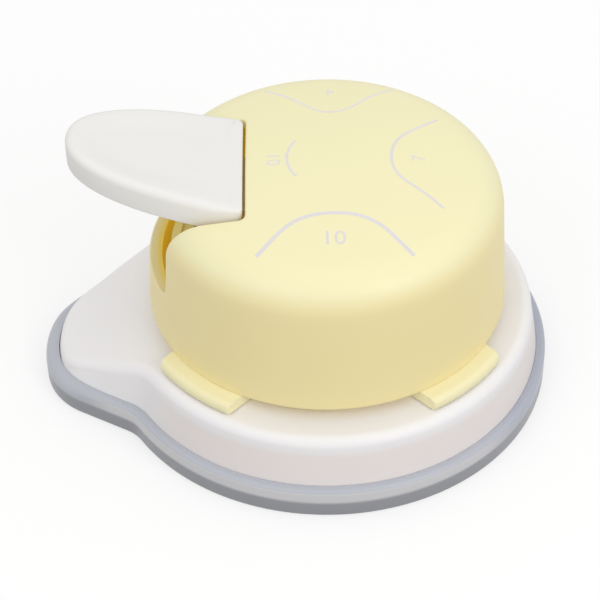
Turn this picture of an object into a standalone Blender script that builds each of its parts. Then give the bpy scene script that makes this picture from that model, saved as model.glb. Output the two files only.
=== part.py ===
"""Corner rounder punch: a round desk punch that rounds three sizes of paper corner and scallops a fourth.

Pressing the lever turns it about a pin at the back of the round cap. Its nose pushes a spring-returned
carrier down, and four punches shear the corner of a sheet against the die plate in the base. The chips
fall into a shallow tray that pulls off the underside.

Lengths are in metres. The origin lies on the cap's axis at the tray's underside, +Z is up, and the
lever and the base's spout point along -X.
"""

from math import asin, atan, atan2, cos, pi, radians, sin, sqrt, tan

import bmesh
import bpy
from mathutils import Matrix, Vector

# Fits
seat_gap = 0.0003
running_gap = 0.0002
die_gap = 0.00015
cut_overrun = 0.0020

# Chip tray, whose outline is a disc with a rounded spout
tray_radius = 0.0476
spout_reach_share = 1.3004
spout_side_share = 0.8592
spout_end_share = 0.630
spout_corner_share = 0.252
spout_hollow_share = 0.126
spout_lean = radians(30)
tray_floor = 0.0016
tray_side_height = 0.0030
tray_height = 0.0062
tray_wall = 0.0026
tray_shoulder = 0.0013
tray_edge_round = 0.0003
tray_foot_fillet = 0.0007

# Base
base_top = 0.0183
base_wall = 0.0022
base_skin = 0.0022
base_draft = 0.0003
base_edge_fillet = 0.0024
ramp_start = 0.0335
ramp_drop = 0.0093
ramp_soft_share = 0.45
well_floor = 0.0020
well_wall = 0.0020
window_margin = 0.0012
base_boss_radius = 0.0040
base_boss_height = 0.0060
base_rib_width = 0.0014
base_rib_height = 0.0045

# Die plate
die_margin = 0.0048
die_thickness = 0.0020

# Guide cross, whose four arms leave a square notch for the paper's corner on each side
cross_thickness = 0.0024
tab_overhang = 0.0038
notch_apex = 0.0152
cross_corner = 0.0016
cross_edge_fillet = 0.0015
cross_foot_bevel = 0.0003

# Punches: what the corners are rounded by, and the blade that does it
small_corner = 0.0040
middle_corner = 0.0070
large_corner = 0.0100
scallop_corner = 0.0100
blade_margin = 0.0008
blade_run_out = 0.0010
blade_shear = 0.0010
blade_flat = 0.0010
blade_setback = 0.0002
head_flange = 0.0008
head_thickness = 0.0015

# Housing that guides the punches and holds the lever's pin
housing_floor = 0.0022
housing_floor_margin = 0.0005
housing_boss_clearance = 0.0008
housing_wall = 0.0018
housing_height = 0.0123
shelf_width = 0.0047
shelf_thickness = 0.0022
shelf_drop = 0.0006
housing_boss_radius = 0.0032
housing_boss_height = 0.0068
cheek_thickness = 0.0026
cheek_half_length = 0.0044
snap_half_width = 0.0030
snap_height = 0.0020
snap_reach = 0.0016
snap_rise = 0.0054

# Screws that clamp the base, die plate, guide cross and housing together
screw_edge_margin = 0.0030
screw_radius = 0.00125
screw_head_radius = 0.0026
screw_head_height = 0.0015
screw_bite = 0.0055

# Lever
lever_reach = 0.0528
pad_start = 0.0170
pad_straight = 0.0011
pad_half_width = 0.0155
pad_fullness = 2.25
pad_thickness = 0.0067
pad_lift = 0.0021
pad_rise = 0.0090
pad_crown = 0.0002
pad_corner = 0.0015
pad_edge_fillet = 0.0026
pad_foot_fillet = 0.0010
pad_dish = 0.0009
pad_rim = 0.0064
hinge_edge_share = 0.25
hinge_edge_reach = 0.0080
press_angle = radians(14)
nose_radius = 0.0025
nose_margin = 0.0001
arm_half_width = 0.0090
arm_thickness = 0.0050
arm_headroom = 0.0008
arm_root = 0.0240
arm_boss_radius = 0.0042
arm_shoulder = 0.0080

# Pin that the lever turns on
pin_setback = 0.0078
pin_height = 0.0435
pin_radius = 0.0015
pin_head_radius = 0.0024
pin_head_thickness = 0.0010
clip_radius = 0.0030
clip_thickness = 0.0006
pin_overhang = 0.0012
cheek_gap = 0.0006

# Carrier, its clamp plate and the two guide posts with their return springs
carrier_thickness = 0.0047
carrier_rim = 0.0014
carrier_corner = 0.0012
clamp_thickness = 0.0015
thrust_pad_height = 0.0018
thrust_pad_clearance = 0.0021
carrier_screw_setback = 0.0067
carrier_screw_radius = 0.0010
carrier_screw_bite = 0.0036
carrier_screw_head_radius = 0.0020
carrier_screw_head_height = 0.0010
post_setback = 0.0070
post_radius = 0.0015
post_foot = 0.0015
post_length = 0.0145
post_chamfer = 0.0003
spring_radius = 0.0024
spring_wire = 0.00035
spring_turns = 5.5
spring_closed_pitch = 0.00115
spring_seat_depth = 0.0012
spring_room = 0.0004
spring_pocket_roof = 0.0010

# Cap
cap_room = 0.0025
cap_height = 0.0313
cap_draft = 0.0013
cap_fillet = 0.0087
cap_crown = 0.0026
cap_wall = 0.0027
cap_top = 0.0026
slot_end_gap = 0.0005
slot_side_gap = 0.0009
slot_sill = 0.0112
slot_corner = 0.0035

# Facets
disc_steps = 24
hollow_steps = 3
tip_steps = 6
end_steps = 2
cap_steps = 72
housing_steps = 60
round_steps = 20
small_steps = 12
pad_steps = 14
fillet_steps = 4

# Places that follow from the sizes above
spout_reach = tray_radius * spout_reach_share
spout_side = tray_radius * spout_side_share
spout_end_radius = tray_radius * spout_end_share
spout_corner_radius = tray_radius * spout_corner_share
spout_hollow = tray_radius * spout_hollow_share
die_radius = notch_apex + scallop_corner + die_margin
screw_circle = die_radius - screw_edge_margin
housing_wall_radius = screw_circle + housing_boss_radius + housing_boss_clearance + housing_wall
cap_radius = housing_wall_radius + cap_room + cap_wall
cross_reach = cap_radius + tab_overhang
pin_x = housing_wall_radius - pin_setback
post_y = notch_apex - post_setback
carrier_screw_x = notch_apex - carrier_screw_setback
thrust_pad_half = post_y - post_radius - thrust_pad_clearance
nose_half_width = thrust_pad_half - nose_margin
base_inset = tray_wall + seat_gap
base_bottom = tray_floor + seat_gap
base_tip = spout_reach - base_inset
die_bottom = base_top - die_thickness
well_radius = die_radius + seat_gap
well_top = die_bottom - seat_gap
well_bottom = well_top - well_floor
cross_bottom = base_top + seat_gap
cross_top = cross_bottom + cross_thickness
housing_bottom = cross_top + seat_gap
floor_top = housing_bottom + housing_floor
housing_top = housing_bottom + housing_height
cap_bottom = housing_bottom
cap_top_height = cap_bottom + cap_height
cap_under = cap_top_height - cap_top
pad_start_height = cap_top_height + pad_lift
stroke = pin_x * press_angle
carrier_bottom = floor_top + stroke + seat_gap
carrier_top = carrier_bottom + carrier_thickness
clamp_bottom = carrier_top + seat_gap
clamp_top = clamp_bottom + clamp_thickness
thrust_top = clamp_top + thrust_pad_height
nose_bottom = thrust_top + seat_gap
arm_top = cap_under - arm_headroom
arm_bottom = arm_top - arm_thickness
edge_height = housing_bottom + blade_setback
cheek_inner = arm_half_width + cheek_gap
cheek_outer = cheek_inner + cheek_thickness
spring_bottom = floor_top - spring_seat_depth + seat_gap
spring_top = carrier_top - spring_pocket_roof - seat_gap
boss_bottom = well_bottom - base_boss_height
pivot = Vector((pin_x, 0, pin_height))


def new_collection(name):
    """A collection in the scene."""
    collection = bpy.data.collections.new(name)
    bpy.context.scene.collection.children.link(collection)
    return collection


def principled(name, colour, roughness, metallic=0.0, alpha=1.0):
    """A plain material for one piece."""
    material = bpy.data.materials.new(name)
    material.use_nodes = True
    shader = material.node_tree.nodes["Principled BSDF"]
    shader.inputs["Base Color"].default_value = (*colour, 1.0)
    shader.inputs["Roughness"].default_value = roughness
    shader.inputs["Metallic"].default_value = metallic
    shader.inputs["Alpha"].default_value = alpha
    return material


def make_object(name, mesh):
    """An object for a mesh, kept as a cutter until it is finished as a piece."""
    built = bpy.data.objects.new(name, mesh)
    cutters.objects.link(built)
    built.hide_render = True
    built.display_type = "WIRE"
    return built


def finish(built, colour, roughness, metallic=0.0, alpha=1.0, parent=None):
    """Turn a built object into a piece of the punch, with its own material."""
    cutters.objects.unlink(built)
    pieces.objects.link(built)
    built.hide_render = False
    built.display_type = "TEXTURED"
    built.data.materials.clear()
    built.data.materials.append(principled(built.name, colour, roughness, metallic, alpha))
    if parent:
        hang(built, parent)
    return built


def hang(child, parent):
    """Parent an object and leave it where it is."""
    bpy.context.view_layer.update()
    child.parent = parent
    child.matrix_parent_inverse = parent.matrix_world.inverted()


def smooth(mesh, angle=radians(35)):
    """Shade round faces smooth and keep corners sharp."""
    mesh.shade_smooth()
    mesh.set_sharp_from_angle(angle=angle)


def boolean(target, operand, operation):
    """Cut, join or intersect with an exact Boolean modifier."""
    modifier = target.modifiers.new(operation.title() + " " + operand.name, "BOOLEAN")
    modifier.operation = operation
    modifier.object = operand
    modifier.solver = "EXACT"


def cut(target, *operands):
    """Take solids out of a target."""
    for operand in operands:
        boolean(target, operand, "DIFFERENCE")


def fuse(target, *operands):
    """Join solids to a target."""
    for operand in operands:
        boolean(target, operand, "UNION")


def group(name, members):
    """Join solids that don't touch each other into one operand."""
    joined = bmesh.new()
    for member in members:
        member.data.transform(member.matrix_basis)
        joined.from_mesh(member.data)
        bpy.data.objects.remove(member)
    mesh = bpy.data.meshes.new(name)
    joined.to_mesh(mesh)
    joined.free()
    return make_object(name, mesh)


def cylinder(name, radius, low, high, at=(0, 0), steps=round_steps):
    """An upright cylinder between two heights."""
    solid = bmesh.new()
    bmesh.ops.create_cone(
        solid, cap_ends=True, segments=steps, radius1=radius, radius2=radius, depth=high - low
    )
    mesh = bpy.data.meshes.new(name)
    solid.to_mesh(mesh)
    solid.free()
    mesh.transform(Matrix.Translation((at[0], at[1], (low + high) / 2)))
    smooth(mesh)
    return make_object(name, mesh)


def box(name, low, high):
    """A box between two corners."""
    solid = bmesh.new()
    bmesh.ops.create_cube(solid, size=1.0)
    mesh = bpy.data.meshes.new(name)
    solid.to_mesh(mesh)
    solid.free()
    low = Vector(low)
    high = Vector(high)
    mesh.transform(Matrix.Translation((low + high) / 2) @ Matrix.Diagonal((*(high - low), 1.0)))
    return make_object(name, mesh)


def turned(name, profile, at=(0, 0), steps=round_steps):
    """A solid of revolution from a profile that starts and ends on the axis."""
    line = bmesh.new()
    points = [line.verts.new((radius, 0, height)) for radius, height in profile]
    for first, second in zip(points, points[1:]):
        line.edges.new((first, second))
    mesh = bpy.data.meshes.new(name)
    line.to_mesh(mesh)
    line.free()
    built = make_object(name, mesh)
    built.location = (at[0], at[1], 0)
    screw = built.modifiers.new("Turn", "SCREW")
    screw.steps = steps
    screw.render_steps = steps
    screw.use_merge_vertices = True
    screw.merge_threshold = 0.00001
    screw.use_smooth_shade = True
    return built


def settle(built):
    """Replace an object by the plain mesh that its modifiers or curve give."""
    bpy.context.view_layer.update()
    evaluated = built.evaluated_get(bpy.context.evaluated_depsgraph_get())
    mesh = bpy.data.meshes.new_from_object(evaluated)
    mesh.transform(built.matrix_world)
    name = built.name
    bpy.data.objects.remove(built)
    welded = bmesh.new()
    welded.from_mesh(mesh)
    bmesh.ops.remove_doubles(welded, verts=welded.verts, dist=0.000001)
    bmesh.ops.dissolve_limit(welded, angle_limit=radians(0.1), verts=welded.verts, edges=welded.edges)
    bmesh.ops.recalc_face_normals(welded, faces=welded.faces)
    welded.to_mesh(mesh)
    welded.free()
    smooth(mesh)
    return make_object(name, mesh)


def plate(name, outline, low, high, turn=0.0):
    """A flat outline given thickness between two heights, turned about the axis."""
    curve = bpy.data.curves.new(name, "CURVE")
    curve.dimensions = "2D"
    curve.fill_mode = "BOTH"
    curve.extrude = (high - low) / 2
    spline = curve.splines.new("POLY")
    spline.points.add(len(outline) - 1)
    for point, (x, y) in zip(spline.points, outline):
        point.co = (x, y, 0, 1)
    spline.use_cyclic_u = True
    built = bpy.data.objects.new(name, curve)
    cutters.objects.link(built)
    built.location.z = (low + high) / 2
    built.rotation_euler.z = turn
    return settle(built)


def side_plate(name, outline, half_width):
    """An outline in the XZ plane given thickness along Y."""
    built = plate(name, outline, -half_width, half_width)
    built.data.transform(Matrix.Rotation(pi / 2, 4, "X"))
    return built


def cross_plate(name, outline, low, high):
    """An outline in the YZ plane given thickness along X."""
    built = plate(name, outline, low, high)
    built.data.transform(Matrix(((0, 0, 1, 0), (1, 0, 0, 0), (0, 1, 0, 0), (0, 0, 0, 1))))
    return built


def loft(name, rings, low_pole=None, high_pole=None):
    """Skin a closed body over rings of equally many points, ending in flat faces or in poles."""
    body = bmesh.new()
    loops = [[body.verts.new(point) for point in ring] for ring in rings]
    for lower, upper in zip(loops, loops[1:]):
        for i, corner in enumerate(lower):
            body.faces.new((lower[i - 1], corner, upper[i], upper[i - 1]))
    for loop, pole in ((loops[0], low_pole), (loops[-1], high_pole)):
        if pole is None:
            body.faces.new(loop)
        else:
            tip = body.verts.new(pole)
            for i, corner in enumerate(loop):
                body.faces.new((loop[i - 1], corner, tip))
    bmesh.ops.recalc_face_normals(body, faces=body.faces)
    mesh = bpy.data.meshes.new(name)
    body.to_mesh(mesh)
    body.free()
    smooth(mesh)
    return make_object(name, mesh)


def arc(centre, radius, start, end, steps):
    """Points on an arc, both ends included."""
    angles = [start + (end - start) * i / steps for i in range(steps + 1)]
    return [(centre[0] + radius * cos(a), centre[1] + radius * sin(a)) for a in angles]


def rounded(outline, radius, steps=3):
    """An outline with its corners rounded."""
    result = []
    for i, (x, y) in enumerate(outline):
        here = Vector((x, y))
        before = (Vector(outline[i - 1]) - here).normalized()
        after = (Vector(outline[(i + 1) % len(outline)]) - here).normalized()
        half = before.angle(after) / 2
        if half > radians(80):
            result.append((x, y))
            continue
        centre = here + (before + after).normalized() * radius / sin(half)
        first = here + before * radius / tan(half)
        second = here + after * radius / tan(half)
        start = atan2(first.y - centre.y, first.x - centre.x)
        sweep = atan2(second.y - centre.y, second.x - centre.x) - start
        sweep = (sweep + pi) % (2 * pi) - pi
        result += arc(centre, radius, start, start + sweep, steps)
    return result


def mirrored(upper):
    """A closed outline from its upper half, whose two ends lie on the X axis."""
    return upper + [(x, -y) for x, y in reversed(upper[1:-1])]


def spout_corner():
    """The middle of the spout's corner arc, which runs smoothly into its side and into its blunt end."""
    slope = 1 / tan(spout_lean)
    offset = (spout_side - spout_corner_radius) / sin(spout_lean) - spout_reach + spout_end_radius
    room = spout_end_radius - spout_corner_radius
    root = sqrt(max(room ** 2 * (slope ** 2 + 1) - offset ** 2, 0))
    y = (offset * slope - root) / (slope ** 2 + 1)
    return -(spout_side - spout_corner_radius - y * cos(spout_lean)) / sin(spout_lean), y


def teardrop(inset):
    """The outline that tray and base share: a disc, the spout, and the hollows between them."""
    normal = Vector((-sin(spout_lean), cos(spout_lean)))
    along = Vector((cos(spout_lean), sin(spout_lean)))
    reach = spout_side + spout_hollow
    hollow = normal * reach - along * sqrt((tray_radius + spout_hollow) ** 2 - reach ** 2)
    meet = atan2(hollow.y, hollow.x)
    lean_end = spout_lean - pi / 2
    disc = arc((0, 0), tray_radius - inset, 0, meet, disc_steps)
    sweep = arc(hollow, spout_hollow + inset, meet - pi, lean_end, hollow_steps)
    corner = spout_corner()
    end = spout_end_radius - spout_reach
    turn = atan2(corner[1], corner[0] - end)
    tip = arc(corner, spout_corner_radius - inset, spout_lean + pi / 2, turn, tip_steps)
    blunt = arc((end, 0), spout_end_radius - inset, turn, pi, end_steps)
    return mirrored(disc + sweep[1:] + tip + blunt[1:])


def ring(outline, height):
    """An outline at a height that may follow X."""
    return [(x, y, height(x)) for x, y in outline]


def level(height):
    """A height that is the same everywhere."""
    return lambda x: height


def circle_under(outline, radius):
    """A circle with one point in the direction of each point of an outline."""
    return [(radius * cos(atan2(y, x)), radius * sin(atan2(y, x))) for x, y in outline]


def between(outer, inner, share):
    """An outline part of the way from one outline to another."""
    return [
        (a[0] + (b[0] - a[0]) * share, a[1] + (b[1] - a[1]) * share) for a, b in zip(outer, inner)
    ]


def ramp_height(x):
    """The base's top: level round the disc, easing into a slope down the spout."""
    along = (-ramp_start - x) / (base_tip - ramp_start)
    if along <= 0:
        return base_top
    if along < ramp_soft_share:
        fall = along ** 2 / (2 * ramp_soft_share)
    else:
        fall = along - ramp_soft_share / 2
    return base_top - ramp_drop * fall / (1 - ramp_soft_share / 2)


def blunt_back(spread):
    """The narrow flat where the two back sides of a blade meet."""
    apex = notch_apex - (blade_margin + spread) * sqrt(2)
    return [(apex + blade_flat / 2, -blade_flat / 2), (apex + blade_flat / 2, blade_flat / 2)]


def corner_blade(radius, spread=0.0):
    """A blade that rounds a corner, seen from above, its notch pointing along +X."""
    meet = Vector((notch_apex + radius * cos(pi / 4), radius * sin(pi / 4)))
    along = Vector((cos(pi / 4), sin(pi / 4)))
    normal = Vector((-sin(pi / 4), cos(pi / 4)))
    end = meet + along * (blade_run_out + spread)
    front = end - normal * spread
    back = end + normal * (blade_margin + spread)
    centre = (notch_apex + radius * sqrt(2), 0)
    edge = arc(centre, radius - spread, 3 * pi / 4, 5 * pi / 4, 11)
    outer = [(front.x, -front.y), (back.x, -back.y)]
    return [tuple(front)] + edge + outer + blunt_back(spread) + [tuple(back)]


def scallop_blade(radius, spread=0.0):
    """A blade that bites a quarter disc out of a corner, seen from above."""
    reach = radius + spread
    half = pi / 4 + asin((blade_margin + spread) / reach)
    return arc((notch_apex, 0), reach, -half, half, 13) + blunt_back(spread)[::-1]


# Each punch: its node, its blade, its corner's size and the side that the paper comes from
punches = (
    ("punch_r7", corner_blade, middle_corner, 0.0),
    ("punch_r4", corner_blade, small_corner, pi / 2),
    ("punch_scallop", scallop_blade, scallop_corner, pi),
    ("punch_r10", corner_blade, large_corner, 3 * pi / 2),
)


def blade_solids(name, spread, low, high):
    """One solid for each punch, spread beyond the blade by a margin."""
    return group(
        name,
        [plate(name, blade(size, spread), low, high, turn) for _, blade, size, turn in punches],
    )


def around(radius, count=4, start=pi / 4):
    """Places on a circle about the axis."""
    angles = [start + 2 * pi * i / count for i in range(count)]
    return [(radius * cos(a), radius * sin(a)) for a in angles]


def chip_tray():
    """The shallow tray under the base, with a sloped shoulder and a flat ledge round the base."""
    profile = (
        (tray_wall + tray_foot_fillet, tray_floor),
        (tray_wall, tray_floor + tray_foot_fillet),
        (tray_wall, tray_height),
        (tray_shoulder + tray_edge_round, tray_height),
        (tray_shoulder, tray_height - tray_edge_round),
        (tray_edge_round / 2, tray_side_height + tray_edge_round),
        (0, tray_side_height - tray_edge_round),
        (0, tray_foot_fillet),
        (tray_foot_fillet, 0),
    )
    rings = [ring(teardrop(inset), level(height)) for inset, height in profile]
    tray = loft("chip_tray", rings)
    return finish(tray, (0.50, 0.55, 0.62), 0.35, alpha=0.75)


def base_shell():
    """The base's shell: a skirt, a soft top edge, the ramp and the round well for the die plate."""
    inner = teardrop(base_inset + base_wall)
    under = circle_under(inner, well_radius + well_wall)
    rings = [ring(under, level(well_bottom))]
    for share in (1.0, 0.67, 0.33, 0.0):
        rings.append(ring(between(inner, under, share), lambda x: ramp_height(x) - base_skin))
    rings.append(ring(inner, level(base_bottom)))
    rings.append(ring(teardrop(base_inset + tray_foot_fillet), level(base_bottom)))
    rings.append(ring(teardrop(base_inset), level(base_bottom + tray_foot_fillet)))
    for i in range(fillet_steps + 1):
        turn = pi / 2 * i / fillet_steps
        inset = base_inset + base_draft + base_edge_fillet * (1 - cos(turn))
        drop = base_edge_fillet * (1 - sin(turn))
        rings.append(ring(teardrop(inset), lambda x, drop=drop: ramp_height(x) - drop))
    top = teardrop(base_inset + base_draft + base_edge_fillet)
    well = circle_under(top, well_radius)
    for share in (0.17, 0.33, 0.5, 0.67, 0.83, 1.0):
        rings.append(ring(between(top, well, share), ramp_height))
    rings.append(ring(well, level(well_top)))
    return loft("base_body", rings)


def base_rib(turn):
    """A rib under the base's top, from a screw boss out to the skirt."""
    low = well_bottom - base_rib_height
    outer = tray_radius - base_inset - base_wall / 2
    outline = [
        (screw_circle, low),
        (outer, low),
        (outer, base_top - base_skin / 2),
        (well_radius + well_wall / 2, base_top - base_skin / 2),
        (well_radius + well_wall / 2, well_bottom + well_floor / 2),
        (screw_circle, well_bottom + well_floor / 2),
    ]
    rib = side_plate("base_rib", outline, base_rib_width / 2)
    rib.data.transform(Matrix.Rotation(turn, 4, "Z"))
    return rib


def base_body():
    """The white base with its screw bosses, ribs and chip windows."""
    base = base_shell()
    places = around(screw_circle)
    bosses = [
        cylinder("base_boss", base_boss_radius, boss_bottom, well_bottom + well_floor / 2, at)
        for at in places
    ]
    ribs = [base_rib(pi / 4 + i * pi / 2) for i in range(4)]
    holes = [
        cylinder("base_hole", screw_radius + seat_gap, boss_bottom - cut_overrun, base_top, at, small_steps)
        for at in places
    ]
    fuse(base, group("base_bosses", bosses), group("base_ribs", ribs))
    windows = blade_solids("chip_windows", window_margin, well_bottom - cut_overrun, base_top)
    cut(base, windows, group("base_holes", holes))
    return finish(base, (0.86, 0.84, 0.83), 0.45)


def die_plate():
    """The steel plate that the punches shear against, flush with the base's top."""
    die = cylinder("die_plate", die_radius, die_bottom, base_top, steps=housing_steps)
    holes = [
        cylinder("die_hole", screw_radius + seat_gap, die_bottom - cut_overrun,
                 base_top + cut_overrun, at, small_steps)
        for at in around(screw_circle)
    ]
    mouths = blade_solids("die_mouths", die_gap, die_bottom - cut_overrun, base_top + cut_overrun)
    cut(die, mouths, group("die_holes", holes))
    return finish(die, (0.56, 0.57, 0.58), 0.35, metallic=1.0)


def cross_outline(reach):
    """Four arms with round ends and a square notch between each pair."""
    spread = asin(notch_apex * sin(pi / 4) / reach)
    outline = []
    for i in range(4):
        middle = pi / 4 + i * pi / 2
        outline += rounded_end(reach, middle - spread, middle + spread)
        outline.append((notch_apex * cos(middle + pi / 4), notch_apex * sin(middle + pi / 4)))
    return outline


def rounded_end(reach, start, end):
    """The outer end of one arm: an arc about the axis with two small corner fillets."""
    side = (start + end) / 2
    half_width = reach * sin((end - start) / 2)
    inner = reach - cross_corner
    offset = asin((half_width - cross_corner) / inner)
    low = (inner * cos(side - offset), inner * sin(side - offset))
    high = (inner * cos(side + offset), inner * sin(side + offset))
    first = arc(low, cross_corner, side - pi / 2, side - offset, 4)
    middle = arc((0, 0), reach, side - offset, side + offset, 6)
    last = arc(high, cross_corner, side + offset, side + pi / 2, 4)
    return first + middle[1:-1] + last


def cross_body():
    """The cross with the outer ends of its arms rounded over and the notches' sides left upright."""
    rings = [
        ring(cross_outline(cross_reach - cross_foot_bevel), level(cross_bottom)),
        ring(cross_outline(cross_reach), level(cross_bottom + cross_foot_bevel)),
    ]
    for i in range(fillet_steps + 1):
        turn = pi / 2 * i / fillet_steps
        reach = cross_reach - cross_edge_fillet * (1 - cos(turn))
        rings.append(ring(cross_outline(reach), level(cross_top - cross_edge_fillet * (1 - sin(turn)))))
    return loft("guide_cross", rings)


def guide_cross():
    """The yellow cross that squares up the paper's corner on each side."""
    cross = cross_body()
    low = cross_bottom - cut_overrun
    high = cross_top + cut_overrun
    places = around(screw_circle)
    holes = [cylinder("cross_hole", screw_radius + seat_gap, low, high, at, small_steps) for at in places]
    sockets = [
        cylinder("post_socket", post_radius + seat_gap, cross_top - post_foot - seat_gap, high, at)
        for at in post_places()
    ]
    mouths = blade_solids("cross_mouths", seat_gap, low, high)
    cut(cross, mouths, group("cross_holes", holes + sockets))
    return finish(cross, (0.86, 0.78, 0.45), 0.4)


def post_places():
    """The two guide posts stand either side of the axis."""
    return ((0, -post_y), (0, post_y))


def housing_outline():
    """The housing's profile: a floor with a low round wall."""
    cap_inner = cap_radius - cap_wall
    return (
        (0, floor_top),
        (housing_wall_radius - housing_wall, floor_top),
        (housing_wall_radius - housing_wall, housing_top),
        (housing_wall_radius, housing_top),
        (housing_wall_radius, floor_top),
        (cap_inner - housing_floor_margin, floor_top),
        (cap_inner - housing_floor_margin, housing_bottom),
        (0, housing_bottom),
    )


def lever_shelf():
    """The shelf under the lever's slot, between the carrier and the round wall."""
    radius = housing_wall_radius - housing_wall / 2
    chord = housing_wall_radius - shelf_width
    half = atan2(sqrt(radius ** 2 - chord ** 2), chord)
    outline = arc((0, 0), radius, pi - half, pi + half, 12)
    top = housing_top - shelf_drop
    return plate("lever_shelf", outline, top - shelf_thickness, top)


def pin_cheek(side):
    """An upright lug with a round head that holds one end of the lever's pin."""
    outline = [
        (pin_x + cheek_half_length, floor_top - housing_floor / 2),
        *arc((pin_x, pin_height), cheek_half_length, 0, pi, 12),
        (pin_x - cheek_half_length, floor_top - housing_floor / 2),
    ]
    cheek = side_plate("pin_cheek", outline, cheek_thickness / 2)
    cheek.data.transform(Matrix.Translation((0, side * (cheek_inner + cheek_outer) / 2, 0)))
    return cheek


def snap_lug(inner, outer, low, high, turn):
    """A small block on a wall, turned about the axis."""
    lug = box("snap_lug", (inner, -snap_half_width, low), (outer, snap_half_width, high))
    lug.data.transform(Matrix.Rotation(turn, 4, "Z"))
    return lug


def guide_housing():
    """The housing: punch guides in its floor, bosses, pin cheeks, a shelf and snap lugs."""
    housing = turned("guide_housing", housing_outline(), steps=housing_steps)
    places = around(screw_circle)
    lug_low = floor_top + snap_rise
    parts = [
        cylinder("boss", housing_boss_radius, floor_top - housing_floor / 2,
                 floor_top + housing_boss_height, at)
        for at in places
    ]
    parts += [pin_cheek(side) for side in (-1, 1)]
    parts += [
        snap_lug(housing_wall_radius - housing_wall / 2, housing_wall_radius + snap_reach,
                 lug_low, lug_low + snap_height, pi / 4 + i * pi / 2)
        for i in range(4)
    ]
    fuse(housing, group("housing_parts", parts), lever_shelf())
    holes = [
        cylinder("screw_hole", screw_radius + seat_gap, housing_bottom - cut_overrun,
                 floor_top + housing_boss_height + cut_overrun, at, small_steps)
        for at in places
    ]
    holes += [
        cylinder("post_hole", post_radius + seat_gap, housing_bottom - cut_overrun, floor_top, at)
        for at in post_places()
    ]
    seats = [
        cylinder("spring_seat", spring_radius + spring_wire + spring_room,
                 floor_top - spring_seat_depth, floor_top + cut_overrun, at)
        for at in post_places()
    ]
    pin_hole = cylinder("pin_hole", pin_radius + seat_gap, -cheek_outer - cut_overrun,
                        cheek_outer + cut_overrun)
    pin_hole.data.transform(Matrix.Translation(pivot) @ Matrix.Rotation(pi / 2, 4, "X"))
    guides = blade_solids("punch_guides", seat_gap, housing_bottom - cut_overrun,
                          floor_top + cut_overrun)
    cut(housing, group("housing_holes", holes), group("spring_seats", seats), guides, pin_hole)
    return finish(housing, (0.80, 0.70, 0.36), 0.5)


def punch(name, blade, size, turn, parent):
    """One punch: a hard blade whose edge rises to its middle, with a flanged head on top."""
    head_bottom = carrier_top - head_thickness
    built = plate(name, blade(size), edge_height, head_bottom + head_thickness / 2)
    head = plate(name + "_head", blade(size, head_flange), head_bottom, carrier_top)
    reach = max(y for _, y in blade(size)) + cut_overrun
    slope = blade_shear / max(y for _, y in blade(size))
    low = edge_height - slope * cut_overrun
    notch = cross_plate(name + "_shear", [(-reach, low), (reach, low), (0, edge_height + blade_shear)],
                        0, 2 * notch_apex)
    fuse(built, head)
    cut(built, notch)
    built = settle(built)
    built.data.transform(Matrix.Rotation(turn, 4, "Z"))
    for cutter in (head, notch):
        bpy.data.objects.remove(cutter)
    return finish(built, (0.60, 0.61, 0.62), 0.3, metallic=1.0, parent=parent)


def carrier_outline(rim):
    """Four arms as long and wide as the heads they hold, plus a rim."""
    sizes = []
    for _, blade, size, _ in punches:
        points = blade(size, head_flange + seat_gap)
        sizes.append((max(x for x, _ in points) + rim, max(y for _, y in points) + rim))
    outline = []
    for i, (reach, half) in enumerate(sizes):
        following = sizes[(i + 1) % 4][1]
        arm = [(reach, -half), (reach, half), (following, half)]
        turn = i * pi / 2
        outline += [(x * cos(turn) - y * sin(turn), x * sin(turn) + y * cos(turn)) for x, y in arm]
    return rounded(outline, carrier_corner)


def carrier_holes(radius, low, high, places):
    """Round holes through the carrier or its clamp plate."""
    return [cylinder("carrier_hole", radius, low, high, at, small_steps) for at in places]


def carrier_screw_places():
    """The two screws that hold the clamp plate down."""
    return ((-carrier_screw_x, 0), (carrier_screw_x, 0))


def punch_carrier(parent):
    """The block that carries the punches, slides on the posts and rests on the springs."""
    carrier = plate("punch_carrier", carrier_outline(carrier_rim), carrier_bottom, carrier_top)
    low = carrier_bottom - cut_overrun
    high = carrier_top + cut_overrun
    pockets = [
        cylinder("spring_pocket", spring_radius + spring_wire + spring_room, low,
                 carrier_top - spring_pocket_roof, at)
        for at in post_places()
    ]
    holes = carrier_holes(post_radius + running_gap, low, high, post_places())
    screw_holes = carrier_holes(
        carrier_screw_radius + seat_gap, carrier_top - carrier_screw_bite - seat_gap, high,
        carrier_screw_places(),
    )
    slots = blade_solids("blade_slots", seat_gap, low, high)
    recesses = blade_solids(
        "head_recesses", head_flange + seat_gap, carrier_top - head_thickness - seat_gap, high
    )
    cut(carrier, slots, recesses, group("pockets", pockets), group("carrier_bores", holes + screw_holes))
    return finish(carrier, (0.12, 0.12, 0.13), 0.55, parent=parent)


def clamp_plate(parent):
    """The plate that traps the punch heads, with the pad that the lever's nose presses."""
    clamp = plate("clamp_plate", carrier_outline(0.0), clamp_bottom, clamp_top)
    pad = box(
        "thrust_pad",
        (-thrust_pad_half, -thrust_pad_half, clamp_bottom + clamp_thickness / 2),
        (thrust_pad_half, thrust_pad_half, thrust_top),
    )
    fuse(clamp, pad)
    low = clamp_bottom - cut_overrun
    high = thrust_top + cut_overrun
    holes = carrier_holes(post_radius + seat_gap, low, high, post_places())
    holes += carrier_holes(carrier_screw_radius + seat_gap, low, high, carrier_screw_places())
    cut(clamp, group("clamp_bores", holes))
    return finish(clamp, (0.50, 0.51, 0.52), 0.4, metallic=1.0, parent=parent)


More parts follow.
